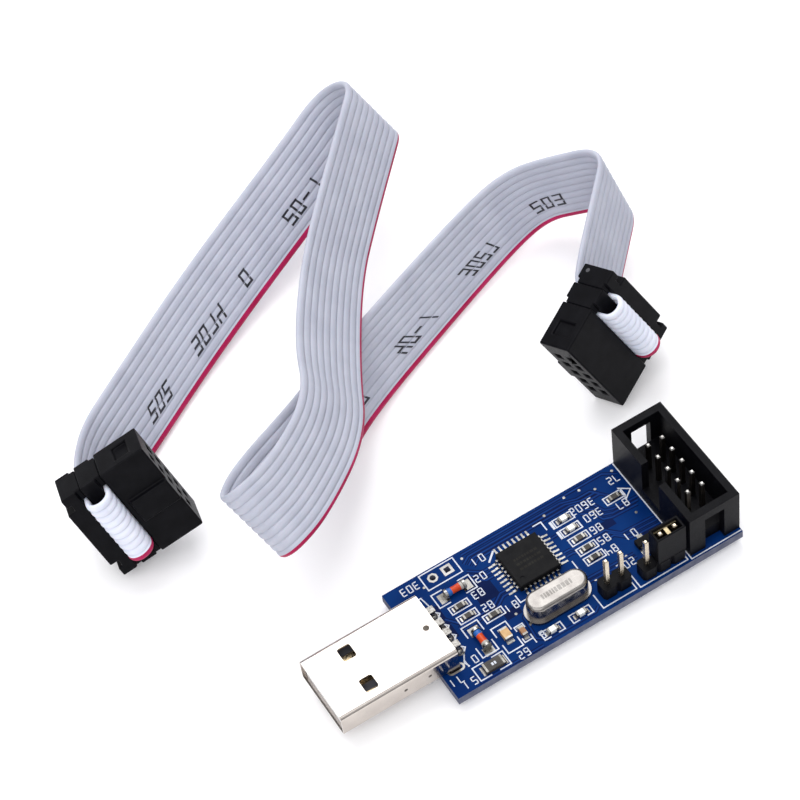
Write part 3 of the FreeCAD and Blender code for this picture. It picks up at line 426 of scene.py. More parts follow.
# The free ribbon, as lines drawn across it from its plain edge to its red edge, in millimetres. They
# are the part's, with a few by the near and right folds moved to follow the photo more closely.
ROUTE = [
    ((-45.0, 51.5, 13.5), (-42.5, 46.0, 2.0)),
    ((-40.0, 59.5, 10.0), (-40.0, 50.0, 0.5)),
    ((-32.0, 64.5, 10.0), (-36.0, 52.0, 0.5)),
    ((-12.5, 76.5, 10.0), (-12.0, 66.5, 0.5)),
    # far fold
    ((11.0, 85.5, 15.5), (19.0, 78.5, 7.5)),
    ((21.5, 90.0, 18.0), (26.5, 82.0, 9.5)),
    ((24.5, 83.5, 24.5), (29.0, 77.0, 14.5)),
    ((19.0, 77.5, 24.5), (25.0, 73.0, 14.0)),
    ((5.5, 64.0, 22.5), (17.0, 65.0, 13.0)),
    ((-1.5, 56.0, 21.5), (8.5, 56.0, 12.0)),
    ((-9.0, 44.5, 22.5), (-1.0, 40.5, 13.0)),
    ((-13.3, 33.4, 25.5), (-7.5, 27.0, 17.0)),
    # near fold
    ((-23.3, 25.9, 27.0), (-19.5, 17.5, 18.5)),
    ((-31.0, 23.0, 28.0), (-27.0, 14.0, 19.5)),
    ((-32.5, 26.5, 23.0), (-28.5, 17.5, 15.0)),
    ((-27.8, 31.4, 21.0), (-24.2, 22.0, 13.0)),
    ((-13.3, 41.7, 13.2), (-9.7, 31.6, 5.2)),
    ((-8.5, 45.5, 10.5), (-0.5, 40.5, 0.5)),
    ((5.0, 51.0, 10.5), (24.5, 51.0, 0.5)),
    # right fold
    ((30.5, 60.3, 11.7), (37.8, 55.7, 1.3)),
    ((38.6, 61.0, 13.3), (43.3, 55.9, 2.6)),
    ((44.0, 57.5, 16.0), (46.8, 53.3, 4.1)),
    ((51.5, 52.0, 19.0), (54.5, 47.5, 7.0)),
    ((45.0, 45.5, 18.0), (46.5, 39.5, 6.0)),
    ((36.0, 36.5, 16.5), (41.5, 34.5, 5.0)),
]
LEAD_OUT = 1.5 * MM


def socket_matrix(letter):
    """A socket's own frame: x along it, y through it towards its key, z from its face to its clip."""
    yaw, pitch, roll = (math.radians(angle) for angle in SOCKET_TURNS[letter])
    turn = Matrix.Rotation(yaw, 4, "Z") @ Matrix.Rotation(pitch, 4, "Y") @ Matrix.Rotation(roll, 4, "X")
    return Matrix.Translation(MOUNTS[f"ribbon_socket_{letter}"]["pos_m"]) @ turn


SOCKETS = {letter: socket_matrix(letter) for letter in SOCKET_TURNS}


def socket_box(letter, piece):
    """The lowest and highest corner of one of a socket's nodes, in the socket's own frame."""
    inverse = SOCKETS[letter].inverted()
    places = [inverse @ vertex.co for vertex in frame["nodes"][f"socket_{letter}_{piece}"].data.vertices]
    return (Vector(min(place[axis] for place in places) for axis in range(3)),
            Vector(max(place[axis] for place in places) for axis in range(3)))


def slot_line(letter, side, reach=0.0):
    """The line where the ribbon crosses a socket's side, or that line moved outwards."""
    high = socket_box(letter, "ribbon_loop")[1]
    y = side * (socket_box(letter, "cover")[1].y + reach)
    return tuple(SOCKETS[letter] @ Vector((end * RIBBON_WIDTH / 2, y, high.z - CROWN)) for end in (-1, 1))


def spline_points(name, points, steps):
    """Points along the smooth curve that has the given control points."""
    data = bpy.data.curves.new(name, "CURVE")
    data.dimensions = "3D"
    data.resolution_u = steps
    spline = data.splines.new("NURBS")
    spline.points.add(len(points) - 1)
    for control, point in zip(spline.points, points):
        control.co = (*point, 1.0)
    spline.order_u = 3
    spline.use_endpoint_u = True
    curve = add_object(name, data)
    bpy.context.view_layer.update()
    line = bpy.data.meshes.new_from_object(curve.evaluated_get(bpy.context.evaluated_depsgraph_get()))
    places = [vertex.co.copy() for vertex in line.vertices]
    bpy.data.meshes.remove(line)
    bpy.data.objects.remove(curve)
    return places


class Band:
    """A ribbon's middle surface between its plain edge and its red edge."""

    def __init__(self, plain, red):
        self.plain, self.red = plain, red
        self.middle = [(a + b) / 2 for a, b in zip(plain, red)]
        self.along = [0.0]
        for start, end in zip(self.middle, self.middle[1:]):
            self.along.append(self.along[-1] + (end - start).length)
        self.normals = [self.normal(station) for station in range(len(plain))]

    def normal(self, station):
        """The surface's normal at each edge, at one station."""
        before, after = max(0, station - 1), min(len(self.plain) - 1, station + 1)
        across = self.red[station] - self.plain[station]
        return [(edge[after] - edge[before]).cross(across).normalized() for edge in (self.plain, self.red)]

    def at(self, station, across, lift):
        """A point at one station, across from 0 at the plain edge to 1, lifted off the middle surface."""
        normal = self.normals[station][0].lerp(self.normals[station][1], across).normalized()
        return self.plain[station].lerp(self.red[station], across) + normal * lift

    def point(self, distance, across, lift):
        """The same at a distance along the band."""
        station = min(max(bisect.bisect_right(self.along, distance) - 1, 0), len(self.along) - 2)
        part = (distance - self.along[station]) / (self.along[station + 1] - self.along[station])
        return self.at(station, across, lift).lerp(self.at(station + 1, across, lift), part)


def rib_height(across, valley=VALLEY):
    """Half the ribbon's thickness: each wire swells it, and the outer wires round off its edges."""
    place = across * WIRES
    wire = min(int(place), WIRES - 1)
    offset = 2 * (place - wire) - 1
    swell = math.sqrt(max(0.0, 1 - offset * offset))
    outer = (wire == 0 and offset < 0) or (wire == WIRES - 1 and offset > 0)
    return CROWN * swell if outer else valley + (CROWN - valley) * swell


def rib_profile():
    """Places across the ribbon, closer together at the grooves than on the wires' crowns."""
    places = [(wire + 0.5 - 0.5 * math.cos(math.pi * step / STEPS_PER_WIRE)) / WIRES
              for wire in range(WIRES) for step in range(STEPS_PER_WIRE)]
    return places + [1.0]


def ribbon_mesh(band, valley, printed_side):
    """The ribbed skin of a band; its second material is the red stripe on the edge wire."""
    mesh = bmesh.new()
    profile = rib_profile()
    # how far across the red starts: a little sooner on the printed side
    stripe_from = {printed_side: 0.932, -printed_side: 0.95}
    section = [(across, 1) for across in profile] + [(across, -1) for across in reversed(profile[1:-1])]
    rings = [[mesh.verts.new(band.at(station, across, side * rib_height(across, valley)))
              for across, side in section] for station in range(len(band.plain))]
    for ring, following in zip(rings, rings[1:]):
        for corner, face in enumerate(bridge(mesh, ring, following)):
            side = section[corner][1] if corner < len(profile) - 1 else -1
            middle = (section[corner][0] + section[(corner + 1) % len(section)][0]) / 2
            face.material_index = int(middle > stripe_from[side])
    mesh.faces.new(rings[0])
    mesh.faces.new(list(reversed(rings[-1])))
    bmesh.ops.recalc_face_normals(mesh, faces=mesh.faces)
    return mesh


# seven strokes of a plain numeral, one unit wide and two tall
STROKES = {"a": ((0, 2), (1, 2)), "b": ((1, 2), (1, 1)), "c": ((1, 1), (1, 0)), "d": ((0, 0), (1, 0)),
           "e": ((0, 1), (0, 0)), "f": ((0, 2), (0, 1)), "g": ((0, 1), (1, 1))}
NUMERALS = {"0": "abcdef", "1": "bc", "2": "abged", "3": "abgcd", "4": "fgbc", "5": "afgcd",
            "6": "afgedc", "7": "abc", "8": "abcdefg", "9": "abcdfg", "-": "g"}


def make_ribbon():
    """The ribbon from slot to slot; gives back its piece, its middle line and its middle surface."""
    lines = ([slot_line("a", -1), slot_line("a", -1, LEAD_OUT)]
             + [(Vector(plain) * MM, Vector(red) * MM) for plain, red in ROUTE]
             + [slot_line("b", 1, LEAD_OUT), slot_line("b", 1)])
    steps = 12
    plain = spline_points("plain_edge", [line[0] for line in lines], steps)
    red = spline_points("red_edge", [line[1] for line in lines], steps)
    middle = spline_points("ribbon_middle", [(line[0] + line[1]) / 2 for line in lines], steps)
    band = Band(plain, red)
    ribbon = new_piece("ribbon_ribbed", ribbon_mesh(band, VALLEY, -1), ["ribbon", "stripe"], "ribbon_set")
    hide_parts("ribbon_cable")
    return ribbon, middle, band


def make_loop(letter, printed_side):
    """The ribbon's crimped end: out of the lower slot, round outside the socket and into the upper."""
    low, high = socket_box(letter, "ribbon_loop")
    cover = socket_box(letter, "cover")[1].y
    side = 1 if high.y > -low.y else -1
    middle = (low.z + high.z) / 2
    radius = (high.z - low.z) / 2 - CROWN
    bend = side * (max(high.y, -low.y) - radius - CROWN)
    inside = side * cover * 0.3
    arc = [(bend + side * radius * math.cos(angle), middle + radius * math.sin(angle))
           for angle in (math.pi * (step / 20 - 0.5) for step in range(21))]
    path = [(inside, middle - radius), ((inside + bend) / 2, middle - radius), *arc,
            ((inside + bend) / 2, middle + radius), (inside, middle + radius)]
    edges = [[SOCKETS[letter] @ Vector((end * RIBBON_WIDTH / 2, y, z)) for y, z in path] for end in (-1, 1)]
    # the loop is painted in the lighter copy of the vinyl, as painted light
    loop = new_piece(f"socket_{letter}_loop_ribbed", ribbon_mesh(Band(*edges), 0.06 * MM, printed_side),
                     ["loop", "stripe"], "ribbon_set")
    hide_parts(f"socket_{letter}_ribbon_loop")
    return loop


def make_ribbon_print(band):
    """Plain numerals printed along the ribbon, over three of its wires."""
    mesh = bmesh.new()
    width, half_height, pitch, line_width = 1.25 * MM, 1.05 * MM, 2.15 * MM, 0.38 * MM
    # how far across the ribbon the numerals stand
    baseline = 0.59
    # where each group starts, in metres along the ribbon, and what it says
    groups = ((0.0125, "30"), (0.024, "202"), (0.0375, "3074"), (0.051, "0"), (0.063, "20-1"), (0.139, "72"),
              (0.2135, "10"), (0.226, "40-1"), (0.244, "3027"), (0.262, "203"))
    for start, text in groups:
        for index, numeral in enumerate(text):
            for stroke in NUMERALS[numeral]:
                first, last = (Vector((start + index * pitch + x * width, y * half_height))
                               for x, y in STROKES[stroke])
                add_ink(mesh, band, first, last, line_width, baseline)
    return new_piece("ribbon_print", mesh, ["ink"], "ribbon_set")


def add_ink(mesh, band, first, last, width, baseline):
    """One printed stroke, laid over the ribs in short pieces."""
    along = (last - first).normalized()
    first, last = first - along * width / 2, last + along * width / 2
    side = Vector((-along.y, along.x)) * width / 2
    pieces = 8
    rows = []
    for step in range(pieces + 1):
        centre = first.lerp(last, step / pieces)
        row = []
        for place in (centre + side, centre - side):
            across = baseline + place.y / RIBBON_WIDTH
            row.append(mesh.verts.new(band.point(place.x, across, -(rib_height(across) + 0.02 * MM))))
        rows.append(row)
    for row, following in zip(rows, rows[1:]):
        mesh.faces.new((*row, *reversed(following)))


ribbon, ribbon_middle, ribbon_band = make_ribbon()
ribbon_pieces = [make_ribbon_print(ribbon_band), make_loop("a", printed_side=1),
                 make_loop("b", printed_side=-1)]


# ---------------- sockets

def make_sockets():
    """Both sockets; gives back their pieces and the nodes that still show."""
    pieces = []
    for letter in SOCKETS:
        pieces += [refine(f"socket_{letter}_{piece}", "black", edge)
                   for piece, edge in (("body", 0.3), ("cover", 0.2), ("clip", 0.25))]
        paint(f"socket_{letter}_contacts", "gold")
        pieces.append(f"socket_{letter}_contacts")
    # a round ejector mark on the end of one clip, painted a lighter grey than the black round it as a painted
    # sheen
    mark = bmesh.new()
    end = Vector((socket_box("b", "clip")[0].x, 1.7 * MM, 13.35 * MM))
    turn = SOCKETS["b"].to_3x3()
    add_dimple(mark, SOCKETS["b"] @ end, turn @ Vector((-1, 0, 0)), 0.36 * MM, 0.03 * MM)
    pieces.append(new_piece("socket_b_ejector_mark", mark, ["painted_sheen"], "ribbon_set"))
    return pieces


ribbon_pieces += make_sockets()


# ---------------- circuit board

def make_board():
    """The board's faces are blue solder mask and its cut sides bare laminate."""
    paint("circuit_board", "board", "laminate", second=lambda face: abs(face.normal.z) <= 0.9)
    paint("solder_joints", "tin")


def make_traces():
    """Copper tracks under the mask, each with the dark gap that parts it from the filled copper."""
    gaps, tracks = bmesh.new(), bmesh.new()
    buses = [
        # first line, how many, step to the next
        ([(13.4, 9.9), (15.2, 9.9), (38.6, 9.9), (40.6, 8.6)], 1, (0, 0)),
        ([(12.9, 8.3), (14.2, 9.1), (30.5, 9.1), (33.0, 8.3), (35.4, 8.3), (36.4, 7.2)], 3, (0.5, -0.62)),
        ([(15.7, 5.6), (14.4, 5.6), (12.6, 7.0)], 3, (-0.1, -0.8)),
        ([(15.7, 0.9), (14.6, 0.9), (12.6, -0.4), (6.4, -0.7)], 2, (0.1, -0.7)),
        ([(6.0, 1.2), (7.4, -0.6), (10.0, -0.9)], 2, (-0.5, 0.6)),
        ([(26.2, 4.6), (27.6, 4.6), (28.4, 3.2)], 1, (0, 0)),
        ([(26.2, 1.4), (27.2, 1.4), (28.0, 1.1)], 2, (0.0, -0.8)),
        ([(31.0, 1.2), (33.4, 1.2), (35.2, -0.6), (40.8, -0.9)], 3, (0.3, -0.75)),
        ([(33.0, 6.9), (34.6, 5.9), (35.3, 4.2), (36.6, 3.7), (41.0, 3.5)], 3, (-0.5, -0.6)),
        ([(24.6, -3.6), (25.8, -4.3), (34.6, -4.6)], 2, (0.1, -0.7)),
        ([(16.6, -3.3), (15.2, -4.6), (14.8, -8.6), (16.2, -9.8), (24.4, -9.8), (25.2, -9.2)], 1, (0, 0)),
        ([(3.2, -8.6), (4.2, -9.4), (4.2, -10.2), (15.0, -10.2)], 1, (0, 0)),
    ]
    gap_width, track_width, patch_height = 0.62, 0.26, 0.004
    # each line lies a little above the one before, so none share a height where they cross
    lift, lift_step, track_rise = 0.006, 0.0005, 0.012
    for first, count, (dx, dy) in buses:
        for line in range(count):
            points = [(x + line * dx, y + line * dy) for x, y in first]
            add_strip(gaps, points, gap_width, lift)
            add_strip(tracks, points, track_width, lift + track_rise)
            lift += lift_step
    # patches without filled copper
    for x, y, length, width in ((12.9, 3.4, 3.4, 5.2), (4.9, 1.4, 1.8, 6.4), (14.3, -2.9, 2.6, 1.6),
                                (34.2, 1.9, 2.6, 1.4), (39.2, -2.9, 3.2, 1.3)):
        add_strip(gaps, [(x - length / 2, y), (x + length / 2, y)], width, patch_height)
    new_piece("mask_gaps", gaps, ["gap"], "board", smooth=False)
    new_piece("mask_tracks", tracks, ["trace"], "board", smooth=False)


def make_underside():
    """Guessed tracks under the board, from the headers and the plug to the chip's side of it."""
    tracks = bmesh.new()
    proud, narrow, wide = 0.012, 0.4, 0.7
    under = -(board_high.z - board_low.z) / MM - proud
    for line in range(5):
        start, middle, end = 3.6 - 2 * line, 5.2 - 1.1 * line, 6.6 - 2.2 * line
        add_strip(tracks, [(8.5, start), (12.5 + line, start), (16.0 + line, middle), (27.0, middle),
                           (30.5, end), (39.5, end)], narrow, under)
    for x in (12.0, 24.0, 36.0):
        add_strip(tracks, [(x, 9.4), (x + 6.0, 9.4), (x + 7.5, 8.2)], narrow, under)
        add_strip(tracks, [(x, -9.6), (x + 5.0, -9.6), (x + 6.5, -8.4)], wide, under)
    bmesh.ops.reverse_faces(tracks, faces=tracks.faces)
    new_piece("underside_tracks", tracks, ["trace"], "board", smooth=False)


def make_pads():
    """Tinned copper: pads under each part's ends and leads, rings round holes, and small vias."""
    pads = bmesh.new()
    thin, pad_length, lead_pitch = 0.03, 0.8, 0.8
    for name in CHIP_PARTS:
        x, y = board_place(name)
        length, width, _ = part_size(name)
        for side in (-1, 1):
            if length > width:
                add_block(pads, x + side * (length / 2 + pad_length / 2), y, pad_length, width, 0.0, thin)
            else:
                add_block(pads, x, y + side * (width / 2 + pad_length / 2), length, pad_length, 0.0, thin)
    chip_x, chip_y = board_place("microcontroller_body")
    for quarter in range(4):
        turn = Matrix.Rotation(math.pi / 2 * quarter, 2)
        for lead in range(8):
            place = turn @ Vector((4.45, (lead - 3.5) * lead_pitch))
            add_block(pads, chip_x + place.x, chip_y + place.y, 1.5, 0.3, 0.0, thin, turn=-90 * quarter)
    for node, turn in (("diode_1_glass", 90), ("diode_2_glass", 0)):
        x, y = board_place(node)
        for side in (-1, 1):
            shift = Matrix.Rotation(math.radians(turn), 2) @ Vector((side * 2.0, 0))
            add_block(pads, x + shift.x, y + shift.y, 1.5, 1.7, 0.0, thin, turn)
    x, y = board_place("transistor_body")
    for dx, dy in ((-0.95, -1.25), (0.95, -1.25), (0.0, 1.25)):
        add_block(pads, x + dx, y + dy, 0.9, 0.9, 0.0, thin)
    rings = bmesh.new()
    add_ring(rings, *OPEN_HOLES[0], 0.5, 0.85, thin, sides=8)
    add_ring(rings, *OPEN_HOLES[1], 0.64, 1.2, thin, sides=4)
    for side in (-1, 1):
        add_ring(rings, 2.35, PLUG_Y + side * 5.85, 0.38, 0.7, thin, reach=1.5)
    for x, y in PLUG_PINS:
        add_ring(pads, x, y, 0.5, 0.85, thin)
    # filled vias
    pinhole, via_radius, via_height = 0.0001, 0.22, 0.02
    for x, y in ((13.2, 9.3), (27.4, 8.6), (31.6, 9.6), (34.2, 9.4), (40.2, 9.5), (36.3, 8.2),
                 (14.6, -3.4), (15.3, -6.1), (26.3, -3.4), (27.4, -5.2), (33.4, -4.4), (34.0, 5.1),
                 (39.0, 1.2), (5.9, 8.2)):
        add_ring(pads, x, y, pinhole, via_radius, via_height, sides=12)
    new_piece("pad_rings", rings, ["lead"], "board", smooth=False)
    new_piece("pads", pads, ["pad"], "board", smooth=False)


def add_dome(mesh, x, y, radius, tall):
    """A rounded lump of solder on the board."""
    sides, rings = 16, 5
    rows = [[mesh.verts.new(on_board(x + radius * math.cos(rise) * math.cos(turn),
                                     y + radius * math.cos(rise) * math.sin(turn), tall * math.sin(rise)))
             for turn in ring_turns(sides)]
            for rise in (math.pi / 2 * ring / (rings + 0.3) for ring in range(rings + 1))]
    for row, following in zip(rows, rows[1:]):
        bridge(mesh, row, following, turned=True)
    mesh.faces.new(rows[-1])


def make_solder_fillets():
    """The concave run of solder from each pad up a part's plated end."""
    mesh = bmesh.new()
    reach, steps = 0.36, 5

    def corners(x, y, along_x, out, span, height):
        """The two ends of a line across a pad, out from the part's middle."""
        places = [(out, across) if along_x else (across, out) for across in (-span / 2, span / 2)]
        return [mesh.verts.new(on_board(x + dx, y + dy, height)) for dx, dy in places]

    for name in CHIP_PARTS:
        x, y = board_place(name)
        length, width, height = part_size(name)
        tall = 0.75 * height
        along_x = length > width
        span = (width if along_x else length) * 0.92
        start = (length if along_x else width) / 2 + END_CAP
        for side in (-1, 1):
            rows = []
            for step in range(steps + 1):
                angle = math.pi / 2 * step / steps
                out, up = start + reach * (1 - math.cos(angle)), tall * (1 - math.sin(angle)) + 0.03
                rows.append(corners(x, y, along_x, side * out, span, up))
            base = corners(x, y, along_x, side * (start - 0.02), span, 0.02)
            for row, following in zip(rows, rows[1:]):
                mesh.faces.new((*row, *reversed(following)))
            mesh.faces.new([row[0] for row in rows] + [base[0]])
            mesh.faces.new([row[1] for row in reversed(rows)] + [base[1]])
            mesh.faces.new((rows[-1][0], rows[-1][1], base[1], base[0]))
            mesh.faces.new((base[0], base[1], rows[0][1], rows[0][0]))
    for x, y in PLUG_PINS:
        add_dome(mesh, x, y, 0.72, 0.75)
    bmesh.ops.recalc_face_normals(mesh, faces=mesh.faces)
    piece = new_piece("solder_fillets", mesh, ["tin"], "board")
    piece.data.set_sharp_from_angle(angle=math.radians(50))


SILK_LINE = 0.2
SILK_HEIGHT = 0.035


def add_silk(mesh, points, weight=1, closed=False):
    """A line of the legend, weight times the usual width."""
    add_strip(mesh, points, SILK_LINE * weight, SILK_HEIGHT, closed)


def brackets(mesh, x, y, length, width, arm, turn):
    """Two C-shaped lines that clasp a part's ends."""
    spin = Matrix.Rotation(math.radians(turn), 2)
    for side in (-1, 1):
        corners = [(side * (length / 2 - arm), width / 2), (side * length / 2, width / 2),
                   (side * length / 2, -width / 2), (side * (length / 2 - arm), -width / 2)]
        places = [spin @ Vector(corner) for corner in corners]
        add_silk(mesh, [(x + place.x, y + place.y) for place in places])


def outline(mesh, x0, y0, x1, y1):
    """A rectangle between two corners."""
    add_silk(mesh, [(x0, y0), (x1, y0), (x1, y1), (x0, y1)], closed=True)


def number(mesh, text, x, y):
    """A plain number that reads from the plug's side of the board, centred on x and y."""
    unit = 0.625
    step = unit * 1.75
    for index, numeral in enumerate(text):
        left = x + ((len(text) - 1) / 2 - index) * step + unit / 2
        for stroke in NUMERALS[numeral]:
            ends = [(left - across * unit, y + unit - up * unit) for across, up in STROKES[stroke]]
            # just above the lines, which some numbers cross
            add_strip(mesh, ends, SILK_LINE * 0.85, SILK_HEIGHT + 0.001)


def make_silkscreen():
    """The white legend: lines round the parts, and plain numbers."""
    silk = bmesh.new()
    # jumpers and header
    outline(silk, 6.2, 7.35, 12.1, 10.3)
    add_silk(silk, [(31.5, -8.4), (31.5, -9.95), (25.65, -9.95), (25.65, -7.2)])
    add_silk(silk, [(32.1, -7.0), (32.1, -10.1), (40.5, -10.1), (40.5, -8.4)])
    add_silk(silk, [(41.05, 10.5), (41.05, -6.9), (38.9, -6.9)])
    add_silk(silk, [(41.05, -8.2), (41.05, -10.35), (49.9, -10.35)])
    add_silk(silk, [(39.2, 6.3), (40.7, 5.2), (39.2, 4.1)], closed=True)
    # microcontroller corners and its pin mark
    add_silk(silk, [(16.2, -0.7), (16.2, -2.15), (17.2, -2.15)])
    add_silk(silk, [(24.9, 7.95), (26.35, 7.95), (26.35, 6.2)])
    add_silk(silk, [(26.35, -0.5), (26.35, -2.1)])
    add_silk(silk, [(17.75, 7.75), (16.15, 6.35)], 1.5)
    # parts clasped by brackets: x, y, length, width, arm, turn
    for x, y, length, width, arm, turn in ((9.2, 5.1, 6.5, 2.6, 1.9, 0), (7.95, -3.95, 6.0, 2.75, 2.0, 90),
                                           (11.35, -6.0, 4.9, 2.55, 1.7, 90), (6.9, -8.8, 5.2, 2.5, 1.9, 0),
                                           (13.75, -6.75, 3.0, 1.4, 0.8, 90), (17.4, -8.9, 3.5, 1.45, 1.1, 0),
                                           (22.4, -8.9, 3.5, 1.45, 1.1, 0)):
        brackets(silk, x, y, length, width, arm, turn)
    for name in RESISTORS + LEDS:
        x, y = board_place(name)
        outline(silk, x - 1.62, y - 0.68, x + 1.62, y + 0.68)
        if name in LEDS:
            add_silk(silk, [(x - 2.0, y - 0.75), (x - 2.0, y + 0.75)], 2)
    # the plug's end, with a notch at each of its pins
    add_silk(silk, [(3.4, 6.9), (4.5, 6.9), (4.8, 5.0)])
    for x, y in PLUG_PINS:
        add_silk(silk, [(x + 0.2, y + 1.0), (x + 1.15, y), (x + 0.2, y - 1.0)])
    add_silk(silk, [(4.9, -4.4), (3.9, -6.1), (4.3, -7.0)])
    for text, x, y in (("303", 4.0, 9.2), ("02", 13.7, 5.0), ("83", 11.9, 2.75), ("82", 11.9, 0.1),
                       ("81", 14.9, -1.95), ("01", 15.2, 7.75), ("61", 15.3, -8.6), ("62", 11.9, -9.7),
                       ("51", 3.0, -9.4), ("01", 5.0, -6.4), ("71", 1.5, -8.0), ("72", 39.5, 8.1),
                       ("87", 38.2, 3.6), ("3602", 32.9, 6.7), ("3601", 32.9, 4.5), ("86", 32.5, 2.2),
                       ("85", 32.4, 0.0), ("84", 32.3, -2.2), ("01", 36.2, -1.6), ("202", 32.6, -5.6)):
        number(silk, text, x, y)
    new_piece("silkscreen", silk, ["silk"], "board", smooth=False)


make_board()
make_traces()
make_underside()
make_pads()
make_solder_fillets()
make_silkscreen()


# ---------------- USB plug

def make_plug():
    """The shell with round-cornered windows and pressed spots, its tongue and its contacts."""
    low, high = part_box("usb_shell")
    shell = refine("usb_shell", "nickel", 0.07, segments=2)
    mesh = bmesh.new()
    mesh.from_mesh(shell.data)
    # the upright edges at the windows' corners, as tall as the wall is thick
    corners = [edge for edge in mesh.edges
               if 0.2 * MM < edge.calc_length() < 0.4 * MM
               and abs((edge.verts[1].co - edge.verts[0].co).normalized().z) > 0.99
               and low.x + 5 * MM < edge.verts[0].co.x < low.x + 8 * MM]
    bmesh.ops.bevel(mesh, geom=corners, offset=0.4 * MM, segments=5, affect="EDGES", profile=0.5)
    mesh.to_mesh(shell.data)
    mesh.free()
    shell.data.shade_smooth()
    spots = bmesh.new()
    middle_y = (low.y + high.y) / 2
    add_dimple(spots, Vector((board_low.x + 1.34 * MM, middle_y, high.z)), Vector((0, 0, 1)),
               0.5 * MM, 0.06 * MM)
    for x in (-6.0, -1.9):
        add_dimple(spots, Vector((board_low.x + x * MM, low.y, BOARD_TOP + 2.4 * MM)), Vector((0, -1, 0)),
                   0.3 * MM, 0.04 * MM)
    # the pressed spots are painted dark, as painted shade in their hollows
    new_piece("shell_spots", spots, ["painted_shade_metal"], "board")
    # the tongue is white on its front end and painted dark grey elsewhere, as painted shade inside the shell
    paint("usb_tongue", "tongue_painted_shade", "white_plastic", second=lambda face: face.normal.x < -0.9)
    for index in range(1, 5):
        paint(f"usb_contact_{index}", "contact")


make_plug()


# ---------------- headers

def make_header_base(node, pins):
    """A strip of eight-sided blocks, one round each pin."""
    low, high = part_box(node)
    middle_y, half = (low.y + high.y) / 2, (high.y - low.y) / 2
    pitch = (high.x - low.x) / pins
    notch = 0.42 * MM
    starts = [low.x + pitch * pin for pin in range(pins)]

    def long_side(y):
        """One side of the strip, from its first notch to its last."""
        inward = y - math.copysign(notch, y)
        return [place for start in starts
                for place in ((start, inward), (start + notch, y), (start + pitch - notch, y))
                ] + [(high.x, inward)]

    section = long_side(-half) + long_side(half)[::-1]
    mesh = bmesh.new()
    rings = [[mesh.verts.new((x, middle_y + y, z)) for x, y in section] for z in (low.z, high.z)]
    mesh.faces.new(list(reversed(rings[0])))
    mesh.faces.new(rings[1])
    bridge(mesh, *rings, turned=True)
    base = new_piece(f"{node}_notched", mesh, ["black"], "board")
    soften(base, 0.08, 2)
    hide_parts(node)


def make_headers():
    """The box header with its pins, both pin strips and the jumper cap."""
    refine("box_header_shroud", "black", 0.16)
    for index in range(1, 11):
        pin = f"box_header_pin_{index:02d}"
        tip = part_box(pin)[1].z - 0.45 * MM
        # below their tips the pins are painted dark, as painted shade inside the shroud; the tips keep the
        # tinned colour
        paint(pin, "painted_shade_metal", "tin", second=lambda face: face.center.z > tip)
    make_header_base("pair_header_base", 2)
    make_header_base("jumper_header_base", 3)
    for node in ("pair_header_pins", "jumper_header_pins"):
        paint(node, "pale_gold")
    paint("jumper_cap_contact", "brass")
    refine("jumper_cap_housing", "black", 0.14)


make_headers()


# ---------------- chips and other parts

def add_bars(mesh, node, rows, spacing, half_span, width):
    """Faint rows of plain bars on a part's top, where the real part carries print."""
    x, y = board_place(node)
    top = (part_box(node)[1].z - BOARD_TOP) / MM + 0.004
    draw = random.Random(4)
    for row in range(rows):
        line = y + ((rows - 1) / 2 - row) * spacing
        left = -half_span
        while left < half_span - 0.2:
            length = draw.uniform(0.25, 0.6)
            add_strip(mesh, [(x + left, line), (x + left + length, line)], width, top)
            left += length + 0.14


def make_markings():
    """Bars in place of the print on the chip, the crystal and the fuse."""
    for node, rows, spacing, half_span, width, material, slot in (
            ("microcontroller_body", 3, 0.9, 1.9, 0.42, "dark_mark", "chip_black"),
            ("crystal_can", 1, 1.0, 2.6, 0.9, "steel_mark", "crystal_steel"),
            ("fuse", 1, 1.0, 0.35, 0.5, "silk", "resistor_black")):
        mesh = bmesh.new()
        add_bars(mesh, node, rows, spacing, half_span, width)
        new_piece(f"{node}_marks", mesh, [material], "board", smooth=False)


# a glass diode's outline from one end to the other: place, radius and the material that starts there
DIODE_PROFILE = [(-1.32, 0.1, "blue_band"), (-1.32, 0.62, "blue_band"), (-1.15, 0.64, "blue_band"),
                 (-0.6, 0.56, "red_glass"), (-0.1, 0.54, "red_glass"), (0.5, 0.56, "red_glass"),
                 (0.85, 0.6, "pale_glass"), (1.15, 0.64, "pale_glass"), (1.32, 0.62, "pale_glass"),
                 (1.32, 0.1, "pale_glass")]


def make_diodes():
    """Glass bodies: a blue band at one end, red in the middle and clear at the other end."""
    sides, up = 32, Vector((0, 0, 1))
    materials = ["blue_band", "red_glass", "pale_glass"]
    for node, axis in (("diode_1_glass", Vector((0, -1, 0))), ("diode_2_glass", Vector((1, 0, 0)))):
        low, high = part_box(node)
        centre, across = (low + high) / 2, Vector((axis.y, -axis.x, 0))
        mesh = bmesh.new()
        rings = [[mesh.verts.new(centre + axis * place * MM
                                 + (across * math.cos(turn) + up * math.sin(turn)) * radius * MM)
                  for turn in ring_turns(sides)]
                 for place, radius, _ in DIODE_PROFILE]
        for ring, following, (_, _, material) in zip(rings, rings[1:], DIODE_PROFILE):
            for face in bridge(mesh, ring, following, turned=True):
                face.material_index = materials.index(material)
        mesh.faces.new(rings[0])
        mesh.faces.new(rings[-1])
        bmesh.ops.recalc_face_normals(mesh, faces=mesh.faces)
        glass = new_piece(f"{node}_banded", mesh, materials, "board")
        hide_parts(node)


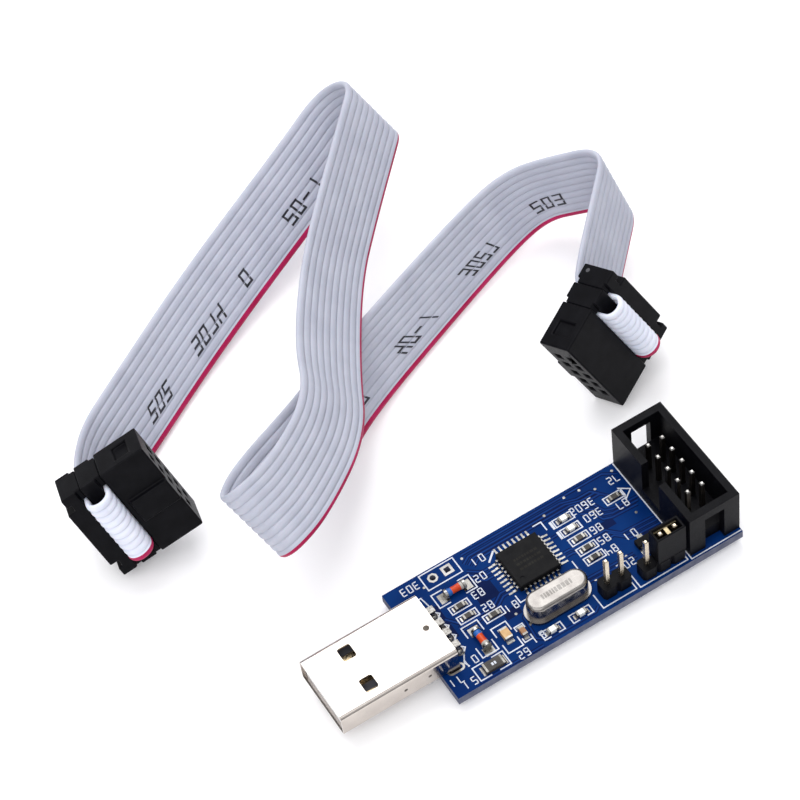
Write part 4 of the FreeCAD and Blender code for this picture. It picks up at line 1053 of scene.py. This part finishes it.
def make_parts():
    """Materials for the parts that keep their own shape."""
    for material, nodes in (("chip", ["microcontroller_body", "transistor_body"]),
                            ("lead", ["microcontroller_leads", "transistor_leads"]),
                            ("tin", ["diode_caps"]), ("pad", ["chip_terminations"]),
                            ("steel", ["crystal_base", "crystal_can"]), ("resistor", [*RESISTORS, "fuse"]),
                            ("brown", ["capacitor_1"]), ("tan", ["capacitor_2"]),
                            ("lens", ["capacitor_3", "capacitor_4", *LEDS])):
        for node in nodes:
            paint(node, material)


make_parts()
make_markings()
make_diodes()


# ---------------- studio

def make_floor():
    """A wide white sheet under the object."""
    data = bpy.data.meshes.new("floor")
    reach = 2.0
    data.from_pydata([(-reach, -reach, 0), (reach, -reach, 0), (reach, reach, 0), (-reach, reach, 0)], [],
                     [(0, 1, 2, 3)])
    data.materials.append(MATERIALS["floor"])
    add_object("floor", data)


def make_light(name, place, size, power):
    """A square soft box that faces the middle of the object."""
    data = bpy.data.lights.new(name, "AREA")
    data.size = size
    data.energy = power
    light = add_object(name, data)
    light.location = place
    light.rotation_euler = (Vector((0, 0.03, 0)) - Vector(place)).to_track_quat("-Z", "Y").to_euler()


def make_world():
    """A white room, brighter overhead than at the horizon."""
    world = bpy.data.worlds.new("room")
    world.use_nodes = True
    nodes, links = world.node_tree.nodes, world.node_tree.links
    height = nodes.new("ShaderNodeSeparateXYZ")
    links.new(nodes.new("ShaderNodeTexCoord").outputs["Generated"], height.inputs["Vector"])
    strength = nodes.new("ShaderNodeMapRange")
    links.new(height.outputs["Z"], strength.inputs["Value"])
    for socket, value in (("From Min", 0.1), ("From Max", 0.95), ("To Min", 0.28), ("To Max", 1.05)):
        strength.inputs[socket].default_value = value
    nodes["Background"].inputs["Color"].default_value = (0.97, 0.975, 1.0, 1.0)
    links.new(strength.outputs["Result"], nodes["Background"].inputs["Strength"])
    bpy.context.scene.world = world


make_floor()
make_light("window", (0.12, 0.55, 0.85), 0.8, 5.5)
make_light("fill", (-0.45, -0.45, 0.8), 1.1, 5.5)
make_world()
bpy.context.scene.view_settings.view_transform = "Standard"
